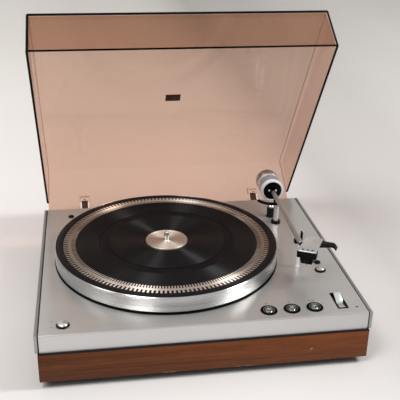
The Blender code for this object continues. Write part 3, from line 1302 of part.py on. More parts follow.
def make_rear_panel(player):
    """The plate on the back board with the mains gland and the signal socket, both bare."""
    half_width = REAR_PANEL_SIZE[0] / 2
    half_height = REAR_PANEL_SIZE[1] / 2
    face = PLINTH_DEPTH / 2 + GAP
    back = face + REAR_PANEL_THICKNESS
    low = (-half_width, face, REAR_PANEL_Z - half_height)
    panel = place("rear_panel", box(low, (half_width, back, REAR_PANEL_Z + half_height)), "black", player)
    inside = face + REAR_PANEL_THICKNESS / 2
    end = back + GLAND_RISE
    offset = GLAND_PITCH / 2
    places = ((-offset, GLAND_RADIUS), (offset, SOCKET_RADIUS))
    bosses = [moved(along_y(rod(radius, inside, end, SMALL)), (x, 0, REAR_PANEL_Z)) for x, radius in places]
    combine(panel, guide("panel_bosses", joined(*bosses), player), "UNION")
    bores = [moved(along_y(rod(GLAND_BORE, inside, end + OVERRUN)), (x, 0, REAR_PANEL_Z)) for x, _ in places]
    combine(panel, guide("panel_bores", joined(*bores), player))


def make_fixed_parts(player):
    make_plinth(player)
    make_base_cover(player)
    make_feet(player)
    make_chassis_frame(player)
    make_deck(player)
    make_side_rails(player)
    make_motor(player)
    make_transformer(player)
    make_circuit_board(player)
    make_rear_panel(player)
    make_belt(player)
    make_arm_rest(player)
    make_button_bezel(player)
    make_cue_bezel(player)
    make_screws(player)


def make_drive(player):
    make_motor_pulley(player)
    platter_axis = empty("platter_axis", player, (PLATTER_X, PLATTER_Y, 0))
    make_sub_platter(platter_axis)
    make_spindle(platter_axis)
    make_platter(platter_axis)
    make_mat(platter_axis)
    make_strobe_ring(platter_axis)
    make_centre_disc(platter_axis)


def make_arm(player):
    pivot = (ARM_PIVOT_X, ARM_PIVOT_Y, ARM_PIVOT_Z)
    yoke_axis = empty("yoke_axis", player, pivot, (0, 0, -ARM_HEADING))
    arm_axis = empty("arm_axis", yoke_axis, turn=(-ARM_SLOPE, 0, 0))
    shell_at = (HEADSHELL_RIGHT, -HEADSHELL_FORWARD, 0)
    shell_axis = empty("shell_axis", arm_axis, shell_at, (0, 0, -HEADSHELL_OFFSET))
    make_arm_pillar(player)
    make_yoke(yoke_axis)
    make_pivot_housing(arm_axis)
    make_pivot_face(arm_axis)
    make_force_dial(arm_axis)
    make_counterweight(arm_axis)
    make_arm_tube(arm_axis, make_shell_space(shell_axis))
    make_headshell(shell_axis)
    make_finger_lift(shell_axis)
    make_cartridge(shell_axis)
    make_stylus(shell_axis)
    make_lift(player)


def make_cover(player):
    lid_axis = empty("lid_axis", player, (0, HINGE_Y, HINGE_HEIGHT), (-LID_OPEN, 0, 0))
    make_lid(lid_axis)
    make_lid_badge(lid_axis)
    make_hinges(player, lid_axis)


def main():
    clear_scene()
    player = empty("player", at=(0, -MIDDLE_Y, 0))
    make_fixed_parts(player)
    make_subchassis(player)
    make_bearing(player)
    make_springs(player)
    make_drive(player)
    make_arm(player)
    make_buttons(player)
    make_cue_rocker(player)
    make_knobs(player)
    make_cover(player)


main()
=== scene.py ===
"""Looks of a record player with its dust cover open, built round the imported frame.

Metres, +Z up, front towards -Y.
"""

import math

import bmesh
import bpy
from mathutils import Matrix, Vector


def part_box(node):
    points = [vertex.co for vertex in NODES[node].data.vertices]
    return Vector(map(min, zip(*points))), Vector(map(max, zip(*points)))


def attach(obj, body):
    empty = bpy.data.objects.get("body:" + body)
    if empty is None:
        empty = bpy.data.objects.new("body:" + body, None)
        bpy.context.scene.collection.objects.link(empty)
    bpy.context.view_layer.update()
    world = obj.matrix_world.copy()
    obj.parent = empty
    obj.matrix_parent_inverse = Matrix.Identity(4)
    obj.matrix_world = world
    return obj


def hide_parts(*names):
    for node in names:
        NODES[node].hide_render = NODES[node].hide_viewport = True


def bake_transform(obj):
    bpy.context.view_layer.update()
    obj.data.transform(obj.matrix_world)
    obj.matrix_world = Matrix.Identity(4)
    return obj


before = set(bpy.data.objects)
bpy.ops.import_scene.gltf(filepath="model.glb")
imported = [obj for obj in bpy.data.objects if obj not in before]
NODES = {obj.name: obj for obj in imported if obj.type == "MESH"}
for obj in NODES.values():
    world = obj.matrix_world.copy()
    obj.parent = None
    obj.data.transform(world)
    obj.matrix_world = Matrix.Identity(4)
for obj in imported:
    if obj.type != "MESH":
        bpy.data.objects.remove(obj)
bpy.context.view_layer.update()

GAP = 0.0003
HAIR = 0.00002  # between two surfaces that would otherwise lie in one plane
PRINT_RISE = 0.00004
WELD = 1e-6  # points nearer than this are one point


def middle(node):
    low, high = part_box(node)
    return (low + high) / 2


def heights(node):
    """A node's lowest and highest level."""
    return [corner.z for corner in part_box(node)]


def at(x, y):
    return Matrix.Translation((x, y, 0))


# Places read from the frame
DECK_LOW, DECK_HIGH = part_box("deck_plate")
DECK_TOP = DECK_HIGH.z
WOOD_LOW, WOOD_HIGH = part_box("wood_plinth")
PLATTER_LOW, PLATTER_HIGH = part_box("platter")
PLATTER_RADIUS = (PLATTER_HIGH.x - PLATTER_LOW.x) / 2
PLATTER_X = (PLATTER_HIGH.x + PLATTER_LOW.x) / 2
PLATTER_Y = (PLATTER_HIGH.y + PLATTER_LOW.y) / 2
PLATTER_TOP = PLATTER_HIGH.z
PLATTER_PLACE = at(PLATTER_X, PLATTER_Y)
MIDDLE_Y = -(DECK_LOW.y + DECK_HIGH.y) / 2

# The tone arm's, headshell's and cover's own frames and sizes, as the CAD has them
PIVOT_HEIGHT = 0.0425
PIVOT = Vector((0.137, 0.105 - MIDDLE_Y, DECK_TOP + PIVOT_HEIGHT))
ARM_HEADING = math.radians(2.56)
ARM_SLOPE = math.radians(2.0)
HOUSING_RADIUS = 0.0165
STUB_RADIUS = 0.005
TUBE_RADIUS = 0.0031
TUBE_WALL = 0.0006
LIFT_RADIUS = 0.0224
LIFT_BAR_TOP = 0.0314
SHELL_RIGHT = 0.0109
SHELL_FORWARD = 0.187535
SHELL_OFFSET = math.radians(26)
SHELL_HALF_WIDTH = 0.01125
SHELL_HALF_LENGTH = 0.0215
SHELL_TOP = 0.0010
SHELL_SHEET = 0.0016
LID_OPEN = math.radians(57.36)
HINGE_Y = 0.17986 - MIDDLE_Y
HINGE_Z = 0.0201
YOKE = Matrix.Translation(PIVOT) @ Matrix.Rotation(-ARM_HEADING, 4, "Z")
ARM = YOKE @ Matrix.Rotation(-ARM_SLOPE, 4, "X")
SHELL_PLACE = Matrix.Translation((SHELL_RIGHT, -SHELL_FORWARD, 0))
SHELL = ARM @ SHELL_PLACE @ Matrix.Rotation(-SHELL_OFFSET, 4, "Z")
LID = Matrix.Translation((0, HINGE_Y, HINGE_Z)) @ Matrix.Rotation(-LID_OPEN, 4, "X")
LAY_Y = Matrix.Rotation(-math.pi / 2, 4, "X")
LAY_FRONT = Matrix.Rotation(math.pi / 2, 4, "X")
LAY_X = Matrix.Rotation(math.pi / 2, 4, "Y")

# Sizes that several pieces share
SPINDLE_BORE = 0.0043
PLATTER_LIP = 0.0011
BOARD = 0.015
WOOD_CUT = 0.0004
SHADOW_STRIP_WIDTH = 0.003


# Materials


class Paint:
    """A material in the making, with short calls for the nodes that finishes share."""

    def __init__(self, name, colour=(0.5, 0.5, 0.5), roughness=0.5, metallic=0.0, **sockets):
        self.material = bpy.data.materials.new(name)
        self.material.use_nodes = True
        self.tree = self.material.node_tree
        self.shader = self.tree.nodes["Principled BSDF"]
        self.set("Base Color", (*colour, 1))
        self.set("Roughness", roughness)
        self.set("Metallic", metallic)
        for socket, value in sockets.items():
            self.set(socket.replace("_", " "), value)
        self.material.diffuse_color = (*colour, 1)
        self.place = self.node("ShaderNodeTexCoord").outputs["Object"]

    def set(self, socket, value):
        self.shader.inputs[socket].default_value = value

    def feed(self, socket, source):
        self.tree.links.new(source, self.shader.inputs[socket])

    def node(self, kind, **values):
        made = self.tree.nodes.new(kind)
        for name, value in values.items():
            setattr(made, name, value)
        return made

    def plug(self, socket, value):
        """Links a node's output to a socket, or sets a plain value there."""
        if isinstance(value, bpy.types.NodeSocket):
            self.tree.links.new(value, socket)
        else:
            socket.default_value = value

    def put(self, made, **inputs):
        for name, value in inputs.items():
            self.plug(made.inputs[name.replace("_", " ")], value)
        return made

    def stretch(self, scale, source=None, shift=(0, 0, 0)):
        made = self.node("ShaderNodeMapping")
        self.put(made, Vector=source or self.place, Scale=scale, Location=shift)
        return made.outputs["Vector"]

    def noise(self, vector, scale=1.0, detail=3.0, rough=0.5, distortion=0.0):
        made = self.node("ShaderNodeTexNoise")
        self.put(made, Vector=vector, Scale=scale, Detail=detail, Roughness=rough, Distortion=distortion)
        return made.outputs["Fac"]

    def ramp(self, source, *stops):
        made = self.node("ShaderNodeValToRGB")
        self.tree.links.new(source, made.inputs["Fac"])
        elements = made.color_ramp.elements
        while len(elements) < len(stops):
            elements.new(0.5)
        for element, (place, value) in zip(elements, stops):
            element.position = place
            colour = value if hasattr(value, "__len__") else (value, value, value)
            element.color = (*colour, 1)
        return made.outputs["Color"]

    def mix(self, share, first, second, blend="MIX"):
        made = self.node("ShaderNodeMix", data_type="RGBA", blend_type=blend)
        self.plug(made.inputs[0], share)
        for index, value in ((6, first), (7, second)):
            linked = isinstance(value, bpy.types.NodeSocket)
            self.plug(made.inputs[index], value if linked else (*value, 1))
        return made.outputs[2]

    def sum(self, operation, *values):
        made = self.node("ShaderNodeMath", operation=operation)
        for socket, value in zip(made.inputs, values):
            self.plug(socket, value)
        return made.outputs[0]

    def weigh(self, first, share, second):
        """A share of one value and the rest of another."""
        parts = self.sum("MULTIPLY", first, share), self.sum("MULTIPLY", second, 1 - share)
        return self.sum("ADD", *parts)

    def axes(self, source=None):
        """The X, Y and Z of a vector."""
        made = self.node("ShaderNodeSeparateXYZ")
        return list(self.put(made, Vector=source or self.place).outputs)

    def bump(self, height, distance, strength=1.0, normal=None):
        made = self.node("ShaderNodeBump")
        self.put(made, Height=height, Distance=distance, Strength=strength)
        if normal:
            self.put(made, Normal=normal)
        return made.outputs["Normal"]


def shades(colour, contrast):
    """A darker and a lighter tone of a colour."""
    return [c * (1 - contrast) for c in colour], [min(1, c * (1 + contrast)) for c in colour]


def brushed(name, colour, roughness, along="X", contrast=0.10, anisotropic=0.55, metallic=1.0, skirt=None):
    """Sheet metal brushed along one axis: streaks in colour, roughness and height.

    A skirt is the colour of what is folded down below the deck's top: a tone of its own for the front face of
    the same sheet, painted light.
    """
    fine, coarser, hair_length, band_length, fold = 2600, 9, 9, 2.5, 0.0015
    paint = Paint(name, colour, roughness, metallic, Anisotropic=anisotropic)
    axis = "XYZ".index(along)
    long_scale = [fine] * 3
    long_scale[axis] = hair_length
    wide_scale = [fine / coarser] * 3
    wide_scale[axis] = band_length
    hair = paint.noise(paint.stretch(long_scale), detail=2)
    band = paint.noise(paint.stretch(wide_scale), detail=2)
    cloud = paint.noise(paint.place, 14, 2)
    streak = paint.weigh(hair, 0.55, band)
    dark, light = shades(colour, contrast)
    tone = paint.ramp(streak, (0.3, dark), (0.7, light))
    tone = paint.mix(0.35, tone, paint.ramp(cloud, (0.35, dark), (0.65, light)))
    # Painted light: below the fold the sheet takes the skirt's tone, for how light falls on the front face.
    if skirt:
        below = paint.sum("LESS_THAN", paint.axes()[2], DECK_TOP - fold)
        tone = paint.mix(below, tone, paint.mix(0.8, skirt, tone, "SOFT_LIGHT"))
    paint.feed("Base Color", tone)
    paint.feed("Roughness", paint.ramp(streak, (0.3, roughness - 0.03), (0.7, roughness + 0.04)))
    paint.feed("Normal", paint.bump(hair, 0.00001, 0.2))
    paint.set("Anisotropic Rotation", 0.25)
    tangent = paint.node("ShaderNodeCombineXYZ")
    tangent.inputs[axis].default_value = 1
    paint.feed("Tangent", tangent.outputs[0])
    return paint.material


def turned_metal(
    name, colour, roughness, centre, contrast=0.08, anisotropic=0.7, pitch=1100, axis="Z", metallic=1.0,
    **sockets
):
    """A surface turned on a lathe: fine rings about an axis through a centre point."""
    wander = 0.0012
    paint = Paint(name, colour, roughness, metallic, Anisotropic=anisotropic, **sockets)
    parts = paint.axes(paint.stretch((1, 1, 1), shift=[-c for c in centre]))
    index = "XYZ".index(axis)
    first, second = (parts[i] for i in range(3) if i != index)
    squares = paint.sum("POWER", first, 2), paint.sum("POWER", second, 2)
    radius = paint.sum("SQRT", paint.sum("ADD", *squares))
    angle = paint.sum("ARCTAN2", second, first)
    joined = paint.node("ShaderNodeCombineXYZ")
    paint.put(joined, X=radius, Y=paint.sum("MULTIPLY", angle, wander), Z=parts[index])
    hair = paint.noise(paint.stretch((pitch, pitch, pitch), joined.outputs[0]), detail=2)
    band = paint.noise(paint.stretch((pitch / 8, pitch, pitch / 8), joined.outputs[0]), detail=2)
    streak = paint.weigh(hair, 0.6, band)
    dark, light = shades(colour, contrast)
    paint.feed("Base Color", paint.ramp(streak, (0.3, dark), (0.7, light)))
    paint.feed("Roughness", paint.ramp(streak, (0.3, roughness - 0.04), (0.7, roughness + 0.06)))
    paint.feed("Normal", paint.bump(hair, 0.00002, 0.15))
    paint.set("Anisotropic Rotation", 0.25)
    tangent = paint.node("ShaderNodeTangent", direction_type="RADIAL", axis=axis)
    paint.feed("Tangent", tangent.outputs[0])
    return paint.material


def moulded(name, colour, roughness, grain=900, contrast=0.12, depth=0.00002, metallic=0.0, **sockets):
    """Moulded plastic, rubber or paint: faint clouds in colour and a fine grain in height."""
    paint = Paint(name, colour, roughness, metallic, **sockets)
    cloud = paint.noise(paint.place, 60, 3)
    speck = paint.noise(paint.place, grain, 2)
    dark, light = shades(colour, contrast)
    paint.feed("Base Color", paint.ramp(cloud, (0.35, dark), (0.65, light)))
    smooth, rough = max(0.02, roughness - 0.05), roughness + 0.05
    paint.feed("Roughness", paint.ramp(cloud, (0.3, smooth), (0.7, rough)))
    paint.feed("Normal", paint.bump(speck, depth, 0.5))
    return paint.material


def polished(name, colour, roughness):
    """Plated metal: nearly a mirror, with faint smears and wipe marks."""
    paint = Paint(name, colour, roughness, 1.0)
    smear = paint.noise(paint.stretch((90, 260, 90)), detail=4)
    dark, _ = shades(colour, 0.07)
    paint.feed("Base Color", paint.ramp(smear, (0.35, dark), (0.65, colour)))
    smooth, rough = max(0.02, roughness - 0.03), roughness + 0.06
    paint.feed("Roughness", paint.ramp(smear, (0.3, smooth), (0.75, rough)))
    return paint.material


def walnut(name, along="X"):
    """Oiled veneer: long figure, fine dark pores, and painted light that brightens the wood towards +X."""
    paint = Paint(name, (0.12, 0.039, 0.011), 0.45)
    paint.set("Specular IOR Level", 0.2)
    axis = "XYZ".index(along)

    def grain(long_scale, cross_scale):
        scale = [cross_scale] * 3
        scale[axis] = long_scale
        return paint.stretch(scale)

    warp = paint.noise(grain(3, 14), detail=2)
    figure = paint.noise(grain(5, 120), detail=5, rough=0.62, distortion=0.6)
    fibre = paint.noise(grain(22, 700), detail=4, rough=0.6)
    pores = paint.noise(grain(150, 2600), detail=2, rough=0.5)
    figure = paint.weigh(figure, 0.72, warp)
    tone = paint.ramp(
        figure,
        (0.28, (0.088, 0.024, 0.008)),
        (0.44, (0.128, 0.037, 0.0115)),
        (0.56, (0.160, 0.048, 0.0135)),
        (0.72, (0.205, 0.064, 0.018)),
    )
    fine = paint.ramp(fibre, (0.30, 0.62), (0.62, 1.0))
    tone = paint.mix(0.75, tone, fine, "MULTIPLY")
    holes = paint.ramp(pores, (0.30, 0.35), (0.42, 1.0))
    tone = paint.mix(0.55, tone, holes, "MULTIPLY")
    along_board, _, height = paint.axes()
    # Painted light: the wood is made lighter towards +X, the right-hand side, as light falls there.
    slow = paint.sum("MULTIPLY_ADD", along_board, 2.5, 0.5)
    light_towards_right = paint.ramp(slow, (0.0, (0.86, 0.84, 0.82)), (1.0, (1.50, 1.42, 1.20)))
    tone = paint.mix(1.0, tone, light_towards_right, "MULTIPLY")
    chips = paint.noise(paint.stretch((70, 70, 130)), detail=3, rough=0.7)
    low_edge = paint.sum("LESS_THAN", height, WOOD_LOW.z + 0.0012)
    worn = paint.sum("MULTIPLY", low_edge, paint.sum("GREATER_THAN", chips, 0.60))
    nick_x, nick_height, nick_flatness = 0.1223, 0.026, 1.6
    spot = paint.node("ShaderNodeVectorMath", operation="DISTANCE")
    paint.plug(spot.inputs[0], paint.stretch((1, 1, nick_flatness)))
    paint.plug(spot.inputs[1], (nick_x, WOOD_LOW.y, nick_height * nick_flatness))
    wobble = paint.sum("MULTIPLY_ADD", chips, 0.006, spot.outputs["Value"])
    worn = paint.sum("MAXIMUM", worn, paint.sum("LESS_THAN", wobble, 0.0049))
    tone = paint.mix(worn, tone, (0.36, 0.22, 0.14))
    paint.feed("Base Color", tone)
    paint.feed("Roughness", paint.ramp(fibre, (0.3, 0.56), (0.7, 0.40)))
    rough = paint.bump(holes, 0.00006, 0.5)
    paint.feed("Normal", paint.bump(fibre, 0.00004, 0.4, rough))
    return paint.material


def acrylic(name, tint):
    """Tinted clear sheet: one face's share of its tint, and its mirror by angle."""
    paint = Paint(name, tint, 0.06)
    tree = paint.tree
    tree.nodes.remove(paint.shader)
    output = tree.nodes["Material Output"]
    cloud = paint.noise(paint.place, 7, 2)
    near = [c * 0.985 for c in tint]
    clear = paint.node("ShaderNodeBsdfTransparent")
    tree.links.new(paint.ramp(cloud, (0.35, near), (0.65, tint)), clear.inputs["Color"])
    mirror = paint.node("ShaderNodeBsdfGlossy")
    mirror.inputs["Color"].default_value = (1, 1, 1, 1)
    wipe = paint.noise(paint.stretch((9, 40, 9)), detail=5)
    tree.links.new(paint.ramp(wipe, (0.4, 0.05), (0.75, 0.11)), mirror.inputs["Roughness"])
    slant = paint.node("ShaderNodeLayerWeight")
    slant.inputs["Blend"].default_value = 0.5
    glancing = paint.sum("POWER", slant.outputs["Facing"], 5)
    share = paint.sum("MULTIPLY_ADD", glancing, 0.96, 0.04)
    both = paint.node("ShaderNodeMixShader")
    tree.links.new(share, both.inputs[0])
    tree.links.new(clear.outputs[0], both.inputs[1])
    tree.links.new(mirror.outputs[0], both.inputs[2])
    tree.links.new(both.outputs[0], output.inputs["Surface"])
    return paint.material


PLATTER_AXIS = (PLATTER_X, PLATTER_Y, 0)
DECK_METAL = brushed(
    "deck_metal", (0.64, 0.615, 0.59), 0.32, "X", 0.045, 0.8, metallic=0.8, skirt=(0.63, 0.64, 0.645)
)
RAIL_METAL = brushed("rail_metal", (0.40, 0.39, 0.38), 0.40, "Y", 0.07, metallic=0.85)
RIM_METAL = turned_metal("rim_metal", (0.60, 0.605, 0.61), 0.25, PLATTER_AXIS, 0.18, 0.97, 700)
RING_METAL = turned_metal("ring_metal", (0.80, 0.71, 0.63), 0.48, PLATTER_AXIS, 0.06, 1.0)
DISC_METAL = turned_metal("disc_metal", (0.84, 0.76, 0.67), 0.50, PLATTER_AXIS, 0.04, 0.7, 900)
RUBBER = turned_metal(
    "mat_rubber", (0.0062, 0.0055, 0.0060), 0.38, PLATTER_AXIS, 0.15, 0.95, 900, metallic=0.0,
    Specular_IOR_Level=0.16
)
GROOVE = moulded("groove_rubber", (0.0085, 0.0072, 0.0074), 0.45, 1500, 0.2, Specular_IOR_Level=0.05)
FOOT_RUBBER = moulded("foot_rubber", (0.016, 0.015, 0.015), 0.75, 1200, 0.2)
BLACK = moulded("black_plastic", (0.005, 0.005, 0.006), 0.30, 1400, 0.2, Specular_IOR_Level=0.06)
BLACK_SATIN = moulded("black_satin", (0.008, 0.008, 0.009), 0.5, 1400, 0.2, Specular_IOR_Level=0.2)
ENAMEL = moulded("black_enamel", (0.007, 0.007, 0.007), 0.3, 2000, 0.2, Specular_IOR_Level=0.22)
PALE_PAINT = moulded("pale_paint", (0.72, 0.73, 0.76), 0.34, 2400, 0.04, 0.00001)
SHELL_PAINT = moulded("shell_paint", (0.58, 0.575, 0.555), 0.36, 2400, 0.05, 0.00001, 0.6)
CHROME = polished("chrome", (0.80, 0.79, 0.78), 0.09)
STEEL = polished("plated_steel", (0.42, 0.42, 0.43), 0.34)
WOOD_X = walnut("walnut_front", "X")
WOOD_Y = walnut("walnut_side", "Y")
CLEAR = acrylic("smoked_acrylic", (0.868, 0.726, 0.655))
CUT_EDGE = moulded("acrylic_edge", (0.004, 0.0025, 0.002), 0.20, 1800, 0.2, 0.00001, Specular_IOR_Level=0.08)
BEND = acrylic("acrylic_bend", (0.60, 0.45, 0.39))
FRONT_WALL = acrylic("acrylic_front", (0.848, 0.715, 0.615))
SIDE_WALL = acrylic("acrylic_side", (0.80, 0.655, 0.585))
SPINDLE_STEEL = polished("spindle_steel", (0.62, 0.60, 0.58), 0.30)
HINGE_PLASTIC = moulded("hinge_plastic", (0.055, 0.020, 0.012), 0.40, 1200, 0.2)
PALE_EDGE = moulded("pale_edge", (0.80, 0.69, 0.65), 0.30, 1800, 0.05, 0.00001)
HARDBOARD = moulded("hardboard", (0.15, 0.095, 0.055), 0.85, 500, 0.25, 0.00008)
LAMINATE = moulded("laminate", (0.05, 0.14, 0.07), 0.5, 700)
COPPER = moulded("wound_copper", (0.42, 0.18, 0.09), 0.4, 600, 0.2, 0.00005, 0.6)
PLATE = moulded("bare_plate", (0.040, 0.020, 0.013), 0.30, 1800, 0.15)
PRINT = moulded("deck_print", (0.045, 0.043, 0.042), 0.6, 2400)
HOUSING_METAL = moulded("housing_metal", (0.41, 0.45, 0.52), 0.30, 2400, 0.05, 0.00001, 0.6)
WEIGHT_METAL = turned_metal(
    "weight_metal", (0.42, 0.405, 0.40), 0.32, (PIVOT.x, 0, PIVOT.z + 0.001), 0.05, 0.5, 700, "Y"
)
TUBE_METAL = moulded("tube_metal", (0.42, 0.385, 0.365), 0.34, 1600, 0.05, 0.00001, 0.75)
POST_METAL = moulded("post_metal", (0.74, 0.74, 0.75), 0.26, 1600, 0.03, 0.00001, 0.7)
REST_METAL = moulded("rest_metal", (0.88, 0.87, 0.86), 0.30, 1600, 0.03, 0.00001, 0.2)
BLACK_GLOSS = moulded("black_gloss", (0.003, 0.003, 0.004), 0.16, 1800, 0.2, 0.00001, Specular_IOR_Level=0.07)
BUTTON_METAL = polished("button_metal", (0.52, 0.54, 0.52), 0.20)
BUTTON_RING = polished("button_ring", (0.58, 0.64, 0.60), 0.20)
ROCKER_METAL = moulded("rocker_metal", (0.70, 0.72, 0.72), 0.24, 1600, 0.03, 0.00001, 0.9)
KNOB_METAL = moulded("knob_metal", (0.74, 0.72, 0.71), 0.22, 1600, 0.04, 0.00001, 0.8)


# Meshes


def skin_loops(bm, loops, closed):
    """Faces between loops of equal counts, where a loop may be one point over and over."""
    pairs = list(zip(loops, loops[1:]))
    if closed:
        pairs.append((loops[-1], loops[0]))
    for first, second in pairs:
        for i in range(len(first)):
            j = (i + 1) % len(first)
            corners = list(dict.fromkeys((first[i], first[j], second[j], second[i])))
            if len(corners) > 2:
                bm.faces.new(corners)


def lathe(profile, steps):
    """Turns (radius, height) points about Z. A profile that starts off the axis closes on itself."""
    bm = bmesh.new()
    angles = [2 * math.pi * i / steps for i in range(steps)]
    loops = []
    for radius, height in profile:
        if radius < 1e-7:
            loops.append([bm.verts.new((0, 0, height))] * steps)
        else:
            loops.append([bm.verts.new((radius * math.cos(a), radius * math.sin(a), height)) for a in angles])
    skin_loops(bm, loops, profile[0][0] > 0)
    bmesh.ops.recalc_face_normals(bm, faces=bm.faces)
    return bm


def loft(sections, closed=False):
    """Skins loops of points with equal counts, and closes both ends unless they meet."""
    bm = bmesh.new()
    loops = [[bm.verts.new(point) for point in section] for section in sections]
    skin_loops(bm, loops, closed)
    if not closed:
        bm.faces.new(loops[0])
        bm.faces.new(loops[-1])
    bmesh.ops.recalc_face_normals(bm, faces=bm.faces)
    return bm


def block(low, high, edge=0.0, segments=2):
    corners = [(low[0], low[1]), (high[0], low[1]), (high[0], high[1]), (low[0], high[1])]
    bm = loft([[(x, y, z) for x, y in corners] for z in (low[2], high[2])])
    if edge:
        soften(bm, edge, segments)
    return bm


def bevel(bm, edges, offset, segments):
    bmesh.ops.bevel(
        bm, geom=edges, offset=offset, segments=segments, profile=0.5, affect="EDGES", clamp_overlap=True
    )


def soften(bm, edge, segments=2, limit=30):
    """Rounds every edge that turns by more than the limit, in degrees."""
    least = math.radians(limit)
    sharp = [e for e in bm.edges if len(e.link_faces) == 2 and e.calc_face_angle(0) > least]
    bevel(bm, sharp, edge, segments)
    return bm


def merge(*shapes):
    """One mesh of several shapes."""
    whole = bmesh.new()
    for shape in shapes:
        mesh = bpy.data.meshes.new("part")
        shape.to_mesh(mesh)
        shape.free()
        whole.from_mesh(mesh)
        bpy.data.meshes.remove(mesh)
    return whole


def shift(bm, vector):
    bmesh.ops.translate(bm, vec=vector, verts=bm.verts)
    return bm


def carry(bm, matrix):
    bm.transform(matrix)
    return bm


def arc(centre, radius, start, end, steps):
    """Points of an arc, angles in degrees."""
    angles = [math.radians(start + (end - start) * i / steps) for i in range(steps + 1)]
    return [(centre[0] + radius * math.cos(a), centre[1] + radius * math.sin(a)) for a in angles]


def rounded_box(x_low, x_high, y_low, y_high, radius, steps=5):
    """An outline with rounded corners, anticlockwise."""
    outline = []
    spots = [(x_high, y_low, -90), (x_high, y_high, 0), (x_low, y_high, 90), (x_low, y_low, 180)]
    for x, y, start in spots:
        centre = (x - radius if x == x_high else x + radius, y - radius if y == y_high else y + radius)
        outline += arc(centre, radius, start, start + 90, steps)
    return outline


def add(name, data):
    """A new object in the scene."""
    made = bpy.data.objects.new(name, data)
    bpy.context.scene.collection.objects.link(made)
    return made


def piece(name, bm, material, body, *nodes, slot=None, matrix=None, smooth=38):
    """Makes an object of a mesh, in the frame at rest, that rides on a body and may stand for nodes."""
    if matrix is not None:
        bm.transform(matrix)
    bmesh.ops.recalc_face_normals(bm, faces=bm.faces)
    for face in bm.faces:
        face.smooth = True
    mesh = bpy.data.meshes.new(name)
    bm.to_mesh(mesh)
    bm.free()
    mesh.set_sharp_from_angle(angle=math.radians(smooth))
    made = add(name, mesh)
    for one in material if isinstance(material, (list, tuple)) else [material]:
        mesh.materials.append(one)
    if body:
        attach(made, body)
    if nodes:
        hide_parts(*nodes)
    return made


def turned(name, profile, steps, material, body, *nodes, **more):
    """A piece turned from a profile."""
    return piece(name, lathe(profile, steps), material, body, *nodes, **more)


def clean(bm):
    """Joins the flat faces of a solid that are cut into triangles."""
    bmesh.ops.dissolve_limit(bm, angle_limit=math.radians(0.5), verts=bm.verts, edges=bm.edges)


def solid(node):
    """A copy of a node's own mesh."""
    bm = bmesh.new()
    bm.from_mesh(NODES[node].data)
    return bm


def refined(node, material, body, edge, slot=None, segments=2):
    """A node's own solid with its edges eased and its round sides smooth."""
    bm = solid(node)
    bmesh.ops.remove_doubles(bm, verts=bm.verts, dist=WELD)
    clean(bm)
    soften(bm, edge, segments)
    return piece(node + "_shown", bm, material, body, node, slot=slot)


def repaint(node, material):
    data = NODES[node].data
    data.materials.clear()
    data.materials.append(material)


# Camera


def make_camera():
    data = bpy.data.cameras.new("camera")
    data.sensor_width = 36
    data.lens = 66.305
    data.clip_start = 0.05
    data.clip_end = 50
    camera = add("camera", data)
    yaw, pitch, roll = (math.radians(a) for a in (-9.15, -24.25, 1.0))
    ahead = Vector((-math.sin(yaw) * math.cos(pitch), math.cos(yaw) * math.cos(pitch), math.sin(pitch)))
    right = ahead.cross(Vector((0, 0, 1))).normalized()
    up = right.cross(ahead)
    leaned = math.cos(roll) * right + math.sin(roll) * up
    up = -math.sin(roll) * right + math.cos(roll) * up
    turn = Matrix((leaned, up, -ahead)).transposed()
    camera.matrix_world = Matrix.Translation((-0.12427, -0.907768, 0.54027)) @ turn.to_4x4()
    bpy.context.scene.camera = camera


make_camera()


# Floor, backdrop, world and lamps


def make_floor():
    """A floor that sweeps up behind into a wall, pale as the photograph's."""
    depth, width, rise, bend = 3.2, 4.5, 3.0, 0.9
    section = [(-3.5, 0)] + [
        (depth - bend + bend * math.sin(a), bend - bend * math.cos(a))
        for a in (math.radians(6 * i) for i in range(16))
    ] + [(depth, rise)]
    bm = bmesh.new()
    loops = [[bm.verts.new((x, y, z)) for y, z in section] for x in (-width, width)]
    for i in range(len(section) - 1):
        bm.faces.new((loops[0][i], loops[1][i], loops[1][i + 1], loops[0][i + 1]))
    mesh = bpy.data.meshes.new("floor")
    bm.to_mesh(mesh)
    bm.free()
    for face in mesh.polygons:
        face.use_smooth = True
    floor = add("floor", mesh)
    paint = Paint("floor_paper", (0.80, 0.77, 0.75), 0.9)
    cloud = paint.noise(paint.place, 1.3, 2)
    paper = paint.ramp(cloud, (0.3, (0.97, 0.965, 0.96)), (0.7, (1.0, 1.0, 1.0)))
    x, y, _ = paint.axes()
    far = paint.sum("MULTIPLY_ADD", y, 0.3, 0.3)
    # Painted shadow and light: the tone dips in two bands, just in front of the player and level with its
    # rear, where its shadow falls, and grows lighter far behind.
    tone = paint.ramp(
        far,
        (0.16, (0.78, 0.75, 0.74)),
        (0.23, (0.69, 0.665, 0.65)),
        (0.28, (0.75, 0.72, 0.70)),
        (0.34, (0.705, 0.67, 0.65)),
        (0.42, (0.78, 0.74, 0.72)),
        (0.66, (0.89, 0.86, 0.82)),
        (1.0, (0.94, 0.91, 0.87)),
    )
    tone = paint.mix(1.0, tone, paper, "MULTIPLY")
    # Painted light and shadow: lighter to the left, darker to the right of the player where its shadow falls.
    across = paint.sum("MULTIPLY_ADD", x, 0.5, 0.5)
    sides = paint.ramp(
        across,
        (0.15, 1.20), (0.30, 1.12), (0.42, 1.02), (0.54, 1.0), (0.60, 0.92),
        (0.66, 0.70), (0.72, 0.75), (0.78, 0.76), (0.86, 0.86), (1.0, 0.96),
    )
    tone = paint.mix(1.0, tone, sides, "MULTIPLY")
    paint.feed("Base Color", tone)
    mesh.materials.append(paint.material)


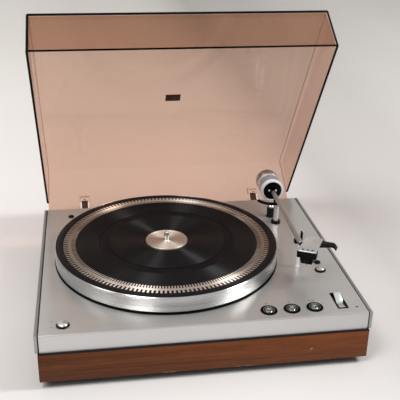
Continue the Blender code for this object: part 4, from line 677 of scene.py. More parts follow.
def make_world():
    world = bpy.data.worlds.new("studio")
    world.use_nodes = True
    bpy.context.scene.world = world
    tree = world.node_tree
    background = tree.nodes["Background"]
    background.inputs["Strength"].default_value = 0.73
    coords = tree.nodes.new("ShaderNodeTexCoord")
    parts = tree.nodes.new("ShaderNodeSeparateXYZ")
    ramp = tree.nodes.new("ShaderNodeValToRGB")
    tree.links.new(coords.outputs["Generated"], parts.inputs[0])
    tree.links.new(parts.outputs["Z"], ramp.inputs["Fac"])
    elements = ramp.color_ramp.elements
    elements.new(0.3)
    for element, (place, tone) in zip(elements, ((0.0, 0.0), (0.40, 0.20), (0.85, 1.0))):
        element.position = place
        element.color = (tone, tone * 0.99, tone * 0.985, 1)
    tree.links.new(ramp.outputs[0], background.inputs["Color"])
    path = tree.nodes.new("ShaderNodeLightPath")
    backdrop = tree.nodes.new("ShaderNodeBackground")
    backdrop.inputs["Color"].default_value = (0.66, 0.63, 0.61, 1)
    either = tree.nodes.new("ShaderNodeMixShader")
    tree.links.new(path.outputs["Is Camera Ray"], either.inputs[0])
    tree.links.new(background.outputs[0], either.inputs[1])
    tree.links.new(backdrop.outputs[0], either.inputs[2])
    tree.links.new(either.outputs[0], tree.nodes["World Output"].inputs["Surface"])


def lamp(name, place, target, size, power, colour=(1, 1, 1)):
    data = bpy.data.lights.new(name, "AREA")
    data.shape = "RECTANGLE"
    data.size, data.size_y = size
    data.energy = power
    data.color = colour
    turn = (Vector(target) - Vector(place)).to_track_quat("-Z", "Y")
    add(name, data).matrix_world = Matrix.Translation(place) @ turn.to_matrix().to_4x4()


make_floor()
make_world()
lamp("top_lamp", (-0.80, -0.88, 1.95), (0, 0, 0), (0.65, 0.8), 20.5)
lamp("left_lamp", (-1.5, -0.3, 1.5), (0, 0, 0.1), (0.6, 0.6), 5, (1.0, 0.98, 0.96))
lamp("right_lamp", (1.38, -0.30, 1.5), (0, 0, 0.1), (0.34, 0.6), 21)


# Plinth


def make_wood():
    """Four veneered boards, mitred, with eased edges."""
    x, y = WOOD_HIGH.x, WOOD_HIGH.y
    x_in, y_in = x - BOARD, y - BOARD
    y_low = WOOD_LOW.y
    y_low_in = y_low + BOARD
    low, high = WOOD_LOW.z, WOOD_HIGH.z - WOOD_CUT
    boards = {
        "wood_front": ([(-x, y_low), (x, y_low), (x_in, y_low_in), (-x_in, y_low_in)], WOOD_X),
        "wood_back": ([(x, y), (-x, y), (-x_in, y_in), (x_in, y_in)], WOOD_X),
        "wood_left": ([(-x, y), (-x, y_low), (-x_in, y_low_in), (-x_in, y_in)], WOOD_Y),
        "wood_right": ([(x, y_low), (x, y), (x_in, y_in), (x_in, y_low_in)], WOOD_Y),
    }
    for name, (outline, material) in boards.items():
        bm = loft([[(px, py, pz) for px, py in outline] for pz in (low, high)])
        soften(bm, 0.0005, 2)
        nodes = ("wood_plinth",) if name == "wood_front" else ()
        board = piece(name, bm, [material, BLACK_SATIN], "plinth", *nodes, slot="walnut")
        for face in board.data.polygons:
            if face.normal.z < -0.9:
                face.material_index = 1


make_wood()

for node, material, body, edge in (
    ("base_cover", HARDBOARD, "plinth", 0),
    ("foot_front_left", FOOT_RUBBER, "plinth", 0.0005),
    ("foot_front_right", FOOT_RUBBER, "plinth", 0.0005),
    ("foot_rear_left", FOOT_RUBBER, "plinth", 0.0005),
    ("foot_rear_right", FOOT_RUBBER, "plinth", 0.0005),
    ("chassis_frame", BLACK_SATIN, "plinth", 0),
    ("motor", STEEL, "plinth", 0.0003),
    ("transformer", COPPER, "plinth", 0.0003),
    ("circuit_board", LAMINATE, "plinth", 0),
    ("rear_panel", BLACK_SATIN, "plinth", 0.0003),
    ("subchassis", STEEL, "float", 0),
    ("bearing_housing", STEEL, "float", 0.0003),
    ("sub_platter", BLACK_SATIN, "turntable", 0.0003),
    ("motor_pulley", STEEL, "pulley", 0.0002),
    ("arm_yoke", STEEL, "yoke", 0.0002),
    ("hinge_base_left", BLACK_SATIN, "plinth", 0.0004),
    ("hinge_base_right", BLACK_SATIN, "plinth", 0.0004),
):
    if edge:
        refined(node, material, body, edge)
    else:
        repaint(node, material)

repaint("drive_belt", FOOT_RUBBER)
repaint("deck_plate", DECK_METAL)


def make_springs():
    """Wound wire springs, one in the place of each spring node."""
    wire, turns, per_turn = 0.0007, 5, 24
    for node in ("spring_left", "spring_right", "spring_rear"):
        low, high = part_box(node)
        x, y = (low.x + high.x) / 2, (low.y + high.y) / 2
        radius = (high.x - low.x) / 2 - wire
        start, end = low.z + wire, high.z - wire
        sections = []
        for i in range(turns * per_turn + 1):
            angle = 2 * math.pi * i / per_turn
            height = start + (end - start) * i / (turns * per_turn)
            section = []
            for across, up in arc((0, 0), wire, 0, 360, 8)[:-1]:
                reach = radius + across
                section.append((x + reach * math.cos(angle), y + reach * math.sin(angle), height + up))
            sections.append(section)
        made = piece(node + "_wound", loft(sections), STEEL, None, node, slot="steel", smooth=60)
        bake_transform(made)


def make_rim_shadow_ring():
    """A black ring on the deck under the platter's rim: painted shadow, for the shade under the rim."""
    r, inside = PLATTER_RADIUS, PLATTER_RADIUS - 0.0070
    low, top = DECK_TOP - 0.0001, DECK_TOP + 0.0003
    profile = [(inside, low), (r + 0.0007, low), (r + 0.0009, top - 0.0001), (r + 0.0008, top), (inside, top)]
    turned("rim_shadow_ring", profile, 192, BLACK_SATIN, "plinth", slot="black_plastic", matrix=PLATTER_PLACE)


make_springs()
make_rim_shadow_ring()


def make_rails():
    """Side rails, each with a black strip where it meets the deck: painted shade, for the shade in the gap
    there.
    """
    for side, name in ((-1, "left"), (1, "right")):
        node = "side_rail_" + name
        low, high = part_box(node)
        inner, outer = (low.x, high.x) if side > 0 else (high.x, low.x)
        step = inner + side * 0.0011
        rail = block((min(step, outer), low.y, low.z), (max(step, outer), high.y, high.z), 0.0005, 3)
        piece("rail_" + name, rail, RAIL_METAL, "plinth", node, slot="brushed_aluminium")
        # Painted shade: a black strip, set a little below the rail's top, where the rail meets the deck.
        line_low = (min(inner, step), low.y + 0.0006, low.z + 0.0006)
        line_high = (max(inner, step), high.y - 0.0006, high.z - 0.0006)
        piece("rail_gap_shade_" + name, block(line_low, line_high), BLACK_SATIN, "plinth", slot="black_plastic")


def make_shadow_line():
    """A black strip between the wood and the deck's folded edge: painted shadow, for the shade in the gap
    there.
    """
    x, y, y_low = WOOD_HIGH.x - 0.0002, WOOD_HIGH.y - 0.0002, WOOD_LOW.y + 0.0002
    z = WOOD_HIGH.z - WOOD_CUT
    top = z + 0.0014
    sections = []
    for inset, height in ((0, z), (0, top), (SHADOW_STRIP_WIDTH, top), (SHADOW_STRIP_WIDTH, z)):
        left, right, front, back = -x + inset, x - inset, y_low + inset, y - inset
        corners = ((left, front), (right, front), (right, back), (left, back))
        sections.append([(px, py, height) for px, py in corners])
    piece("gap_shadow_strip", loft(sections, closed=True), BLACK_SATIN, "plinth", slot="black_plastic")


make_rails()
make_shadow_line()


# Platter


def ribs(inner, outer, pitch, top, depth):
    """Profile points, from outside in, of round ribs between two radii."""
    count = round((outer - inner) / pitch)
    step = (outer - inner) / count
    points = []
    for i in range(count):
        start = outer - i * step
        points += [
            (start, top - depth),
            (start - 0.25 * step, top - depth * 0.3),
            (start - 0.5 * step, top),
            (start - 0.75 * step, top - depth * 0.3),
        ]
    return points + [(inner, top - depth)]


def make_platter():
    r, top = PLATTER_RADIUS, PLATTER_TOP
    rim_bottom = DECK_TOP + 0.003
    lip = r - PLATTER_LIP
    inside = r - 0.0084
    plate_top = top - 0.0002 - 0.003 - GAP
    bore = SPINDLE_BORE
    profile = [
        (bore, plate_top - 0.0059), (inside, plate_top - 0.0059), (inside, rim_bottom),
        (r - 0.0010, rim_bottom), (r - 0.0003, rim_bottom + 0.0003), (r, rim_bottom + 0.0010),
        (r, top - 0.0028), (r - 0.00035, top - 0.0026), (r - 0.00035, top - 0.0022),
        (r, top - 0.0020), (r, top - 0.0010), (r - 0.0008, top - 0.0001), (r - 0.0010, top),
        (lip + 0.0001, top), (lip, top - 0.0001), (lip, plate_top), (bore, plate_top),
    ]
    turned(
        "platter_rim", profile, 256, RIM_METAL, "turntable", "platter",
        slot="bright_metal", matrix=PLATTER_PLACE, smooth=28,
    )


def make_mat():
    low, top = heights("platter_mat")
    edge = PLATTER_RADIUS - PLATTER_LIP - GAP
    ring_outer, ring_inner = 0.1350, 0.1185
    groove = top + 0.0001 - 0.0011 - GAP
    well, well_floor = 0.0278, heights("centre_disc")[0] - GAP
    profile = [
        (SPINDLE_BORE, low), (edge, low), (edge, top - 0.0006), (edge - 0.0006, top),
        (ring_outer + 0.0003, top), (ring_outer, top - 0.0002), (ring_outer, groove),
        (ring_inner, groove), (ring_inner, top - 0.0002), (ring_inner - 0.0003, top),
        (0.1168, top),
    ]
    profile += ribs(0.0888, 0.1160, 0.00126, top, 0.00035)
    profile += [(0.0884, top - 0.0012), (0.0758, top - 0.0012), (0.0754, top - 0.00035)]
    profile += ribs(0.0330, 0.0752, 0.00126, top, 0.00035)
    profile += [(0.0326, top - 0.0006), (well + 0.0006, top - 0.0006), (well, top - 0.0009)]
    profile += [(well, well_floor), (SPINDLE_BORE, well_floor)]
    mat = turned(
        "mat_ribbed", profile, 192, [RUBBER, GROOVE], "turntable", "platter_mat",
        slot="rubber", matrix=PLATTER_PLACE, smooth=50,
    )
    for face in mat.data.polygons:
        reach = (face.center.xy - PLATTER_PLACE.translation.xy).length
        if 0.0753 < reach < 0.0889 and face.center.z > top - 0.0013:
            face.material_index = 1


def make_strobe_ring():
    """A bright ring with coarse teeth outside and fine teeth inside, on black enamel."""
    low, high = heights("strobe_ring")
    outer, inner = 0.1347, 0.1188
    band_out, band_in = 0.1286, 0.1246
    base_top = high - 0.0003
    profile = [(inner, low), (outer, low), (outer, base_top), (inner, base_top)]
    turned(
        "strobe_base", profile, 192, ENAMEL, "turntable", "strobe_ring",
        slot="black_plastic", matrix=PLATTER_PLACE,
    )
    metal_low = base_top + HAIR
    profile = [(band_in, metal_low), (band_out, metal_low), (band_out, high), (band_in, high)]
    band = lathe(profile, 192)
    teeth = []
    for count, share, start, end in (
        (160, 0.48, band_out - 0.0001, outer - 0.0002),
        (216, 0.46, inner + 0.0002, band_in + 0.0001),
    ):
        half = math.pi / count * share
        for i in range(count):
            angle = 2 * math.pi * i / count
            outline = []
            for radius, turn in ((start, -half), (end, -half), (end, half), (start, half)):
                outline.append((radius * math.cos(angle + turn), radius * math.sin(angle + turn)))
            top = high - HAIR
            teeth.append(loft([[(x, y, z) for x, y in outline] for z in (metal_low, top)]))
    piece(
        "strobe_teeth", merge(band, *teeth), RING_METAL, "turntable",
        slot="beige_metal", matrix=PLATTER_PLACE,
    )


def make_disc():
    """A turned centre disc with an eased edge, a shallow dish and a raised hub."""
    low, top = heights("centre_disc")
    r, hub, bore = 0.0275, 0.0065, SPINDLE_BORE
    profile = [
        (bore, low), (r, low), (r, top - 0.0006), (r - 0.0003, top - 0.0001), (r - 0.0007, top),
        (r - 0.0022, top), (r - 0.0027, top - 0.0003),
    ]
    for i in range(9):
        share = i / 8
        reach = r - 0.003 - share * (r - 0.003 - hub)
        profile.append((reach, top - 0.0004 - 0.0003 * math.sin(share * 3.14)))
    profile += [(0.0062, top - 0.0001), (0.0052, top - 0.0001), (bore, top - 0.0004)]
    turned(
        "disc_turned", profile, 128, DISC_METAL, "disc", "centre_disc",
        slot="beige_metal", matrix=PLATTER_PLACE, smooth=25,
    )


def make_spindle():
    low, tip = heights("spindle")
    shoulder = heights("centre_disc")[1]
    r, nose = 0.004, 0.00355
    profile = [
        (0, low), (r, low), (r, shoulder - 0.0004), (nose, shoulder), (nose, tip - 0.0042),
        (nose - 0.0002, tip - 0.0036),
    ]
    profile += arc((0, tip - 0.00335), 0.00335, 0, 90, 7)[:-1] + [(0, tip)]
    turned(
        "spindle_turned", profile, 48, SPINDLE_STEEL, "turntable", "spindle",
        slot="bright_metal", matrix=PLATTER_PLACE, smooth=30,
    )


make_platter()
make_mat()
make_strobe_ring()
make_disc()
make_spindle()


# Tone arm


def make_pillar():
    low, top = heights("arm_pillar")
    steps = 72
    r, neck = 0.0055, 0.0052
    knurl_low, knurl_top = DECK_TOP + 0.0002, top - 0.0034
    profile = [
        (0, low), (0.012, low), (0.012, low + 0.003), (neck, low + 0.003), (neck, knurl_low),
        (r, knurl_low + 0.0003), (r, knurl_top - 0.0003), (neck - 0.0004, knurl_top),
        (neck - 0.0004, knurl_top + 0.0001), (0, knurl_top + 0.0001),
    ]
    bm = lathe(profile, steps)
    for vert in bm.verts:
        turn = round(math.atan2(vert.co.y, vert.co.x) * steps / (2 * math.pi)) % 2
        if turn and vert.co.xy.length > neck + 0.0001 and vert.co.z > knurl_low:
            vert.co.xy *= neck / r
    place = at(PIVOT.x, PIVOT.y)
    piece("pillar_knurled", bm, BLACK_SATIN, "float", "arm_pillar", slot="black_plastic", matrix=place,
          smooth=20)
    cap_low = knurl_top + 0.0001
    profile = [(0.0023, cap_low), (0.0048, cap_low), (0.0048, top - 0.0006), (0.0042, top), (0.0023, top)]
    turned("pillar_cap", profile, 64, CHROME, "float", slot="bright_metal", matrix=place)


def make_housing():
    """The pivot housing: pale front ring, grey band and thin bright ring, in front of the dial and weight."""
    outer, wall = HOUSING_RADIUS, 0.0017
    front, back = -0.0055, 0.021
    turn = ARM @ LAY_Y
    profile = [(0.0133, front + 0.0024), (0.0133, front + 0.0006), (0.0136, front + 0.0001), (0.0140, front)]
    profile += arc((outer - 0.0024, front + 0.0024), 0.0024, -90, 0, 8)
    profile += [(outer, 0.0007), (outer - 0.0004, 0.0008), (outer - 0.0004, 0.0010), (0.0133, 0.0010)]
    turned("housing_ring", profile, 96, PALE_PAINT, "arm", slot="satin_metal", matrix=turn)
    profile = [
        (outer - wall, 0.0011), (outer - 0.0004, 0.0011), (outer - 0.0002, 0.0014),
        (outer - 0.0002, back - 0.0016), (outer - 0.0005, back - 0.0013),
        (STUB_RADIUS, back - 0.0013), (STUB_RADIUS, back - 0.0025), (outer - wall, back - 0.0025),
    ]
    turned("housing_body", profile, 96, HOUSING_METAL, "arm", "pivot_housing",
           slot="satin_metal", matrix=turn)
    profile = [
        (0.0, back), (STUB_RADIUS, back), (STUB_RADIUS, back + 0.0298), (0.0046, back + 0.0302),
        (0, back + 0.0302),
    ]
    turned("weight_stub", profile, 48, STEEL, "arm", slot="steel", matrix=turn)
    profile = [
        (STUB_RADIUS, back - 0.0012), (outer - 0.0003, back - 0.0012), (outer, back - 0.0009),
        (outer, back - 0.0003), (outer - 0.0003, back), (STUB_RADIUS, back),
    ]
    turned("housing_bead", profile, 96, PALE_PAINT, "arm", slot="bright_metal", matrix=turn)
    reach = outer - wall / 2
    pin = carry(lathe([(0, -reach), (0.001, -reach), (0.001, reach), (0, reach)], 20), LAY_X)
    piece("tilt_pin", pin, STEEL, "arm", slot="steel", matrix=ARM)
    face = front + 0.0006
    profile = [
        (0.0034, face + 0.0014), (0.0034, face + 0.0002), (0.0042, face), (0.0124, face),
        (0.0128, face + 0.0003), (0.0130, face + 0.0014),
    ]
    turned("pivot_disc", profile, 96, BLACK_GLOSS, "arm", "pivot_face",
           slot="black_plastic", matrix=turn)
    for side in (-1, 1):
        profile = [
            (0, face + 0.0005), (0.0014, face + 0.0005), (0.0014, face - 0.0002),
            (0.0009, face - 0.0005), (0, face - 0.0006),
        ]
        head = shift(lathe(profile, 24), (side * 0.0049, 0.0, 0))
        head = carry(head, LAY_Y)
        head = shift(head, (0, 0, 0.0008))
        name = "face_screw_left" if side < 0 else "face_screw_right"
        piece(name, head, REST_METAL, "arm", slot="bright_metal", matrix=ARM)


def make_dial_and_weight():
    turn = ARM @ LAY_Y
    outer = 0.0168
    low = 0.0213
    steps = 120
    profile = [
        (STUB_RADIUS + GAP, low), (outer - 0.0004, low), (outer, low + 0.0004),
        (outer, low + 0.0026), (outer - 0.0004, low + 0.003), (STUB_RADIUS + GAP, low + 0.003),
    ]
    bm = lathe(profile, steps)
    for vert in bm.verts:
        turn_index = round(math.atan2(vert.co.y, vert.co.x) * steps / (2 * math.pi)) % 2
        if turn_index and vert.co.xy.length > outer - 0.0001:
            vert.co.xy *= (outer - 0.00025) / outer
    piece("dial_ring", bm, POST_METAL, "dial", "force_dial", slot="bright_metal", matrix=turn, smooth=20)
    r, bore, hub = HOUSING_RADIUS, STUB_RADIUS + GAP, 0.0100
    start, end = 0.0246, 0.054
    profile = [
        (0, end - 0.0024), (bore, end - 0.0024), (bore, start), (r - 0.0004, start),
        (r, start + 0.0004), (r, start + 0.0040), (r - 0.0005, start + 0.0043),
        (r - 0.0005, start + 0.0051), (r, start + 0.0054),
    ]
    shoulder = end - 0.0110
    profile += [(r, shoulder - 0.0030)] + arc((r - 0.0026, shoulder - 0.0026), 0.0026, 10, 90, 7)
    profile += [(hub + 0.0004, shoulder), (hub, shoulder + 0.0003), (hub, end - 0.0008), (0.0093, end)]
    profile += [(0.0082, end), (0.0078, end - 0.0003), (0, end - 0.0003)]
    turned("weight_turned", profile, 96, WEIGHT_METAL, "weight", "counterweight",
           slot="weight_metal", matrix=turn, smooth=25)


def make_tube():
    """The straight tube, its dark root sleeve and the lug that the lift's bar raises."""
    r, bore = TUBE_RADIUS, TUBE_RADIUS - TUBE_WALL
    start, end = 0.0030, SHELL_FORWARD - 0.0045
    turn = ARM @ LAY_FRONT
    profile = [
        (bore, start), (r, start), (r, end - 0.030), (r, end - 0.020), (r, end - 0.0003),
        (r - 0.0003, end), (bore, end),
    ]
    turned("tube_plated", profile, 48, TUBE_METAL, "arm", "arm_tube", slot="bright_metal", matrix=turn)
    profile = [(0.0030, 0.0044), (0.0034, 0.0046), (0.0034, 0.0118), (0.0031, 0.0124), (0.0030, 0.0124)]
    turned("tube_root", profile, 48, BLACK_GLOSS, "arm", slot="black_plastic", matrix=turn)
    bar_gap = PIVOT_HEIGHT + LIFT_RADIUS * math.sin(ARM_SLOPE) - LIFT_BAR_TOP - GAP
    half_width, half_length = 0.0012, 0.0018
    low = (-half_width, -LIFT_RADIUS - half_length, -bar_gap / math.cos(ARM_SLOPE))
    lug = block(low, (half_width, -LIFT_RADIUS + half_length, -r + 0.0004), 0.0003)
    piece("tube_lug", lug, BLACK, "arm", slot="black_plastic", matrix=ARM)


def shell_outline(inset):
    half_width, half_length = SHELL_HALF_WIDTH - inset, SHELL_HALF_LENGTH - inset
    return rounded_box(-half_width, half_width, -half_length, half_length, 0.0015 - min(inset, 0.0008))


def make_headshell():
    """A pressed shell with a raised border, three holes and a socket for the tube."""
    top, sheet = SHELL_TOP, SHELL_TOP - SHELL_SHEET
    steps = [
        (0.0004, sheet), (0.0, sheet + 0.0004), (0.0, top - 0.0005), (0.0003, top - 0.0001),
        (0.0007, top), (0.0014, top), (0.0018, top - 0.00025),
    ]
    plate = loft([[(x, y, z) for x, y in shell_outline(inset)] for inset, z in steps])
    socket = block((-0.0070, 0.0045, top - 0.0045), (0.0070, 0.0212, sheet + 0.0002), 0.0004, 2)
    piece("shell_pressed", merge(plate, socket), SHELL_PAINT, "arm", "headshell", slot="brushed_aluminium",
          matrix=SHELL, smooth=30)
    for i, name in enumerate(("left", "middle", "right")):
        hole = lathe([(0, 0), (0.0015, 0), (0.0015, 0.00005), (0, 0.00005)], 24)
        hole = shift(hole, ((i - 1) * 0.0058, -SHELL_HALF_LENGTH + 0.0050, top - 0.00025))
        piece("shell_hole_" + name, hole, BLACK, "arm", slot="black_plastic", matrix=SHELL)


def make_finger_lift():
    """A black tongue that narrows outwards and turns down at its tip."""
    root = SHELL_HALF_WIDTH + GAP
    rear = SHELL_HALF_LENGTH - 0.0052
    stations = [
        (root, 0.0188, 0.0004), (root + 0.006, 0.0163, 0.0004), (root + 0.0135, 0.0131, 0.0004),
        (root + 0.0150, 0.0126, 0.0001), (root + 0.0168, 0.0119, -0.0012), (root + 0.0195, 0.0110, -0.0046),
    ]
    sections = []
    for x, width, top in stations:
        low = top - 0.0012
        front = rear - width
        sections.append([(x, front, low), (x, rear, low), (x, rear, top), (x, front, top)])
    bm = loft(sections)
    soften(bm, 0.0002, 2, 50)
    piece("finger_tongue", bm, BLACK, "arm", "finger_lift", slot="black_plastic", matrix=SHELL)


def make_cartridge():
    front, back = -SHELL_HALF_LENGTH, -SHELL_HALF_LENGTH + 0.0230
    sheet = SHELL_TOP - SHELL_SHEET - HAIR
    top = SHELL_TOP - 0.0045 - GAP
    low = top - 0.0140
    step_y, step_z = front + 0.0100, low + 0.0046
    outline = [(front, sheet), (front, step_z), (step_y, step_z), (step_y, low), (back, low), (back, sheet)]
    half = 0.0080
    bm = loft([[(x, y, z) for y, z in outline] for x in (-half, half)])
    soften(bm, 0.0005, 2)
    piece("cartridge_body", bm, BLACK_GLOSS, "arm", "cartridge", slot="black_plastic", matrix=SHELL)
    mount = block((-0.0123, front + 0.0001, top - 0.0050), (0.0118, front + 0.0105, sheet), 0.0005, 2)
    piece("cartridge_mount", mount, BLACK_GLOSS, "arm", slot="black_plastic", matrix=SHELL)
    grip_top = step_z - GAP
    grip_low = grip_top - 0.0030
    grip_back = step_y - GAP
    outline = [(front, grip_top), (front, grip_low + 0.0006), (grip_back, grip_low), (grip_back, grip_top)]
    grip = loft([[(x, y, z) for y, z in outline] for x in (-0.0070, 0.0070)])
    soften(grip, 0.0003, 2)
    tip = Vector((0, front + 0.0040, -0.0198))
    root = Vector((0, grip_back - 0.001, grip_low + 0.0002))
    rod = lathe([(0, 0), (0.0004, 0), (0.0003, (tip - root).length), (0, (tip - root).length)], 12)
    aim = (tip - root).to_track_quat("Z", "Y").to_matrix().to_4x4()
    rod = carry(rod, Matrix.Translation(root) @ aim)
    piece("stylus_grip", merge(grip, rod), BLACK, "arm", "stylus", slot="black_plastic", matrix=SHELL)


def make_lift():
    x, y = PIVOT.x + 0.0025, PIVOT.y - 0.022
    low, top = heights("lift_guide")
    place = at(x, y)
    r = 0.0065
    profile = [(0.0038, low), (r, low), (r, top - 0.0008), (r - 0.0008, top), (0.0038, top)]
    turned("lift_collar", profile, 64, BLACK, "float", "lift_guide",
           slot="black_plastic", matrix=place)
    post_low = heights("lift_post")[0]
    bar_top = DECK_TOP + LIFT_BAR_TOP
    bar_low = bar_top - 0.0032
    r = 0.0035
    profile = [
        (0, post_low), (r, post_low), (r, bar_low - 0.0010), (r - 0.0004, bar_low - 0.0003),
        (0, bar_low - 0.0003),
    ]
    turned("lift_rod", profile, 48, POST_METAL, "lift", "lift_post", slot="bright_metal", matrix=place)
    half = 0.0021
    sections = []
    for i in range(29):
        angle = math.radians(-78 - 83 * i / 28)
        section = []
        for across, height in rounded_box(-half, half, bar_low, bar_top, 0.0007, 3):
            reach = LIFT_RADIUS + across
            section.append((PIVOT.x + reach * math.cos(angle), PIVOT.y + reach * math.sin(angle), height))
        sections.append(section)
    piece("lift_bow", loft(sections), BLACK_GLOSS, "lift", "lift_bar", slot="black_plastic")


def make_rest():
    low_post, high_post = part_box("rest_post")
    x, y = (low_post.x + high_post.x) / 2, (low_post.y + high_post.y) / 2
    low, top = low_post.z, high_post.z
    profile = [
        (0, low), (0.0030, low), (0.0030, low + 0.0006), (0.0027, low + 0.0010),
        (0.0021, low + 0.0010), (0.0021, top), (0, top),
    ]
    turned("rest_rod", profile, 40, REST_METAL, "plinth", "rest_post", slot="bright_metal",
           matrix=at(x, y))
    refined("rest_clip", BLACK, "plinth", 0.0005, slot="black_plastic", segments=3)


make_pillar()
make_housing()
make_dial_and_weight()
make_tube()
make_headshell()
make_finger_lift()
make_cartridge()
make_lift()
make_rest()


# Controls


def make_buttons():
    y = middle("button_middle").y
    collar_top = DECK_TOP + 0.0010
    for name in ("left", "middle", "right"):
        node = "button_" + name
        x = middle(node).x
        place = at(x, y)
        r = 0.0100
        profile = [
            (0.0074, DECK_TOP - 0.004), (r, DECK_TOP - 0.004), (r, collar_top - 0.0004),
            (r - 0.0003, collar_top), (0.0082, collar_top), (0.0074, collar_top - 0.0009),
        ]
        nodes = ("button_bezel",) if name == "middle" else ()
        turned("button_collar_" + name, profile, 64, BLACK_GLOSS, "plinth", *nodes,
               slot="black_plastic", matrix=place)
        foot, top = heights(node)
        r = 0.0071
        body = "push_" + name
        profile = [
            (0, foot), (0.003, foot), (0.003, foot + 0.0035), (r, foot + 0.0035),
            (r, top - 0.0006), (r - 0.0002, top - 0.0001), (r - 0.0006, top),
            (r - 0.0011, top - 0.0002), (r - 0.0013, top - 0.0012), (0.0049, top - 0.0013),
            (0, top - 0.0013),
        ]
        cap = turned(
            "button_cap_" + name, profile, 64, [BUTTON_RING, BLACK], body, node,
            slot="satin_metal", matrix=place, smooth=40,
        )
        for face in cap.data.polygons:
            reach = (face.center.xy - place.translation.xy).length
            if face.center.z < top - 0.0010 and reach < 0.0059:
                face.material_index = 1
        profile = [
            (0, top - 0.0012), (0.0047, top - 0.0012), (0.0047, top - 0.0005),
            (0.0042, top - 0.0001), (0.0037, top - 0.0001),
        ]
        for i in range(1, 8):
            share = i / 7
            profile.append((0.0037 * (1 - share), top - 0.0001 - 0.0009 * math.sin(share * math.pi / 2)))
        turned("button_dish_" + name, profile, 64, BUTTON_METAL, body, slot="satin_metal",
               matrix=place, smooth=50)


def make_rocker():
    """A paddle with a raised rear half and a lower front half, on its belly."""
    low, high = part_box("cue_rocker")
    x_mid, half = (low.x + high.x) / 2 + 0.0006, (high.x - low.x) / 2 - 0.0018
    front, rear = low.y + 0.0006, high.y - 0.0012
    tip = high.z - 0.0004
    edge = DECK_TOP - 0.0010
    outline = [
        (rear, tip), (rear - 0.0012, tip), (rear - 0.0110, tip - 0.0038),
        (rear - 0.0130, tip - 0.0050), (rear - 0.0155, edge - 0.0004),
        (rear - 0.0180, edge - 0.0006), (front, edge), (front + 0.0006, edge - 0.0018),
        (rear - 0.013, low.z), (rear - 0.0004, tip - 0.0020),
    ]
    bm = loft([[(x, y, z) for y, z in outline] for x in (x_mid - half, x_mid + half)])
    soften(bm, 0.0003, 2, 20)
    piece("rocker_paddle", bm, ROCKER_METAL, "cue_lever", "cue_rocker", slot="bright_metal")


def make_cue():
    low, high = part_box("cue_bezel")
    x_mid, y_mid = (low.x + high.x) / 2, (low.y + high.y) / 2
    half_x, half_y = (high.x - low.x) / 2, (high.y - low.y) / 2
    wall = 0.0012
    outlines = []
    for inset, z in ((0, low.z), (0, high.z - 0.0003), (0.0003, high.z), (wall - 0.0002, high.z),
                     (wall, high.z - 0.0003), (wall, low.z)):
        outline = rounded_box(x_mid - half_x + inset, x_mid + half_x - inset, y_mid - half_y + inset,
                              y_mid + half_y - inset, 0.0006 + wall - inset, 3)
        outlines.append([(x, y, z) for x, y in outline])
    bm = loft(outlines, closed=True)
    piece("cue_frame", bm, BLACK_GLOSS, "plinth", "cue_bezel", slot="black_plastic")
    make_rocker()


def make_knob(name, node, body, radius):
    low, top = heights(node)
    spot = middle(node)
    skirt = radius + 0.0015
    skirt_low, skirt_top = DECK_TOP + GAP, DECK_TOP + 0.0014
    place = at(spot.x, spot.y)
    profile = [
        (0, low), (0.003, low), (0.003, skirt_low), (skirt, skirt_low),
        (skirt, skirt_top - 0.0003), (skirt - 0.0003, skirt_top), (0, skirt_top),
    ]
    turned(name + "_skirt", profile, 64, BLACK_GLOSS, body, node, slot="black_plastic", matrix=place)
    profile = [(0, skirt_top + HAIR), (radius, skirt_top + HAIR), (radius, skirt_top + 0.0008)]
    height = top - skirt_top - 0.0008
    for i in range(1, 10):
        angle = math.pi / 2 * i / 10
        profile.append((radius * math.cos(angle), skirt_top + 0.0008 + height * math.sin(angle)))
    profile.append((0, top))
    turned(name + "_cap", profile, 64, KNOB_METAL, body, slot="bright_metal", matrix=place)


make_buttons()
make_cue()
make_knob("power", "power_knob", "power", 0.00625)
make_knob("antiskate", "antiskate_dial", "antiskate", 0.0056)
for node in ("transit_screw_front", "transit_screw_rear"):
    refined(node, BLACK, "plinth", 0.0002, slot="black_plastic")


# Marks: plain numbers, a word and ticks


def make_text(name, words, size, x, y):
    curve = bpy.data.curves.new(name, "FONT")
    curve.body = words
    curve.size = size
    curve.align_x = "CENTER"
    curve.align_y = "CENTER"
    made = add(name, curve)
    bpy.context.view_layer.update()
    mesh = bpy.data.meshes.new_from_object(made.evaluated_get(bpy.context.evaluated_depsgraph_get()))
    bpy.data.objects.remove(made)
    bpy.data.curves.remove(curve)
    mesh.transform(Matrix.Translation((x, y, DECK_TOP + PRINT_RISE)))
    mesh.materials.clear()
    mesh.materials.append(PRINT)
    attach(add(name, mesh), "plinth")


def make_marks():
    letter_height, above_button = 0.0034, 0.0150
    y = middle("button_middle").y + above_button
    for name, words in (("left", "33"), ("middle", "45"), ("right", "STOP")):
        make_text("mark_" + name, words, letter_height, middle("button_" + name).x, y)
    low, top = DECK_TOP - 0.0001, DECK_TOP + PRINT_RISE
    half_length, half_width = 0.002, 0.0003
    ticks = []
    for x, tick_y in ((-0.1768, -0.1377), (-0.1761, -0.1486)):
        tick_y -= MIDDLE_Y
        start = (x - half_length, tick_y - half_width, low)
        ticks.append(block(start, (x + half_length, tick_y + half_width, top)))
    piece("knob_ticks", merge(*ticks), PRINT, "plinth")
    dot_radius = 0.0016
    profile = [(0, low), (dot_radius, low), (dot_radius, top), (0, top)]
    turned("cue_dot", profile, 32, PRINT, "plinth", matrix=at(0.1797, -0.1514 - MIDDLE_Y))


make_marks()


# Dust cover


NOTCHES = ((0.1292, 0.1418), (-0.1418, -0.1292))
NOTCH_RISE = 0.0085
LIP_DROP = 0.0138
COVER_LOW = DECK_TOP + 0.0005 - HINGE_Z
COVER_BACK = 0.1675 - (HINGE_Y + MIDDLE_Y)


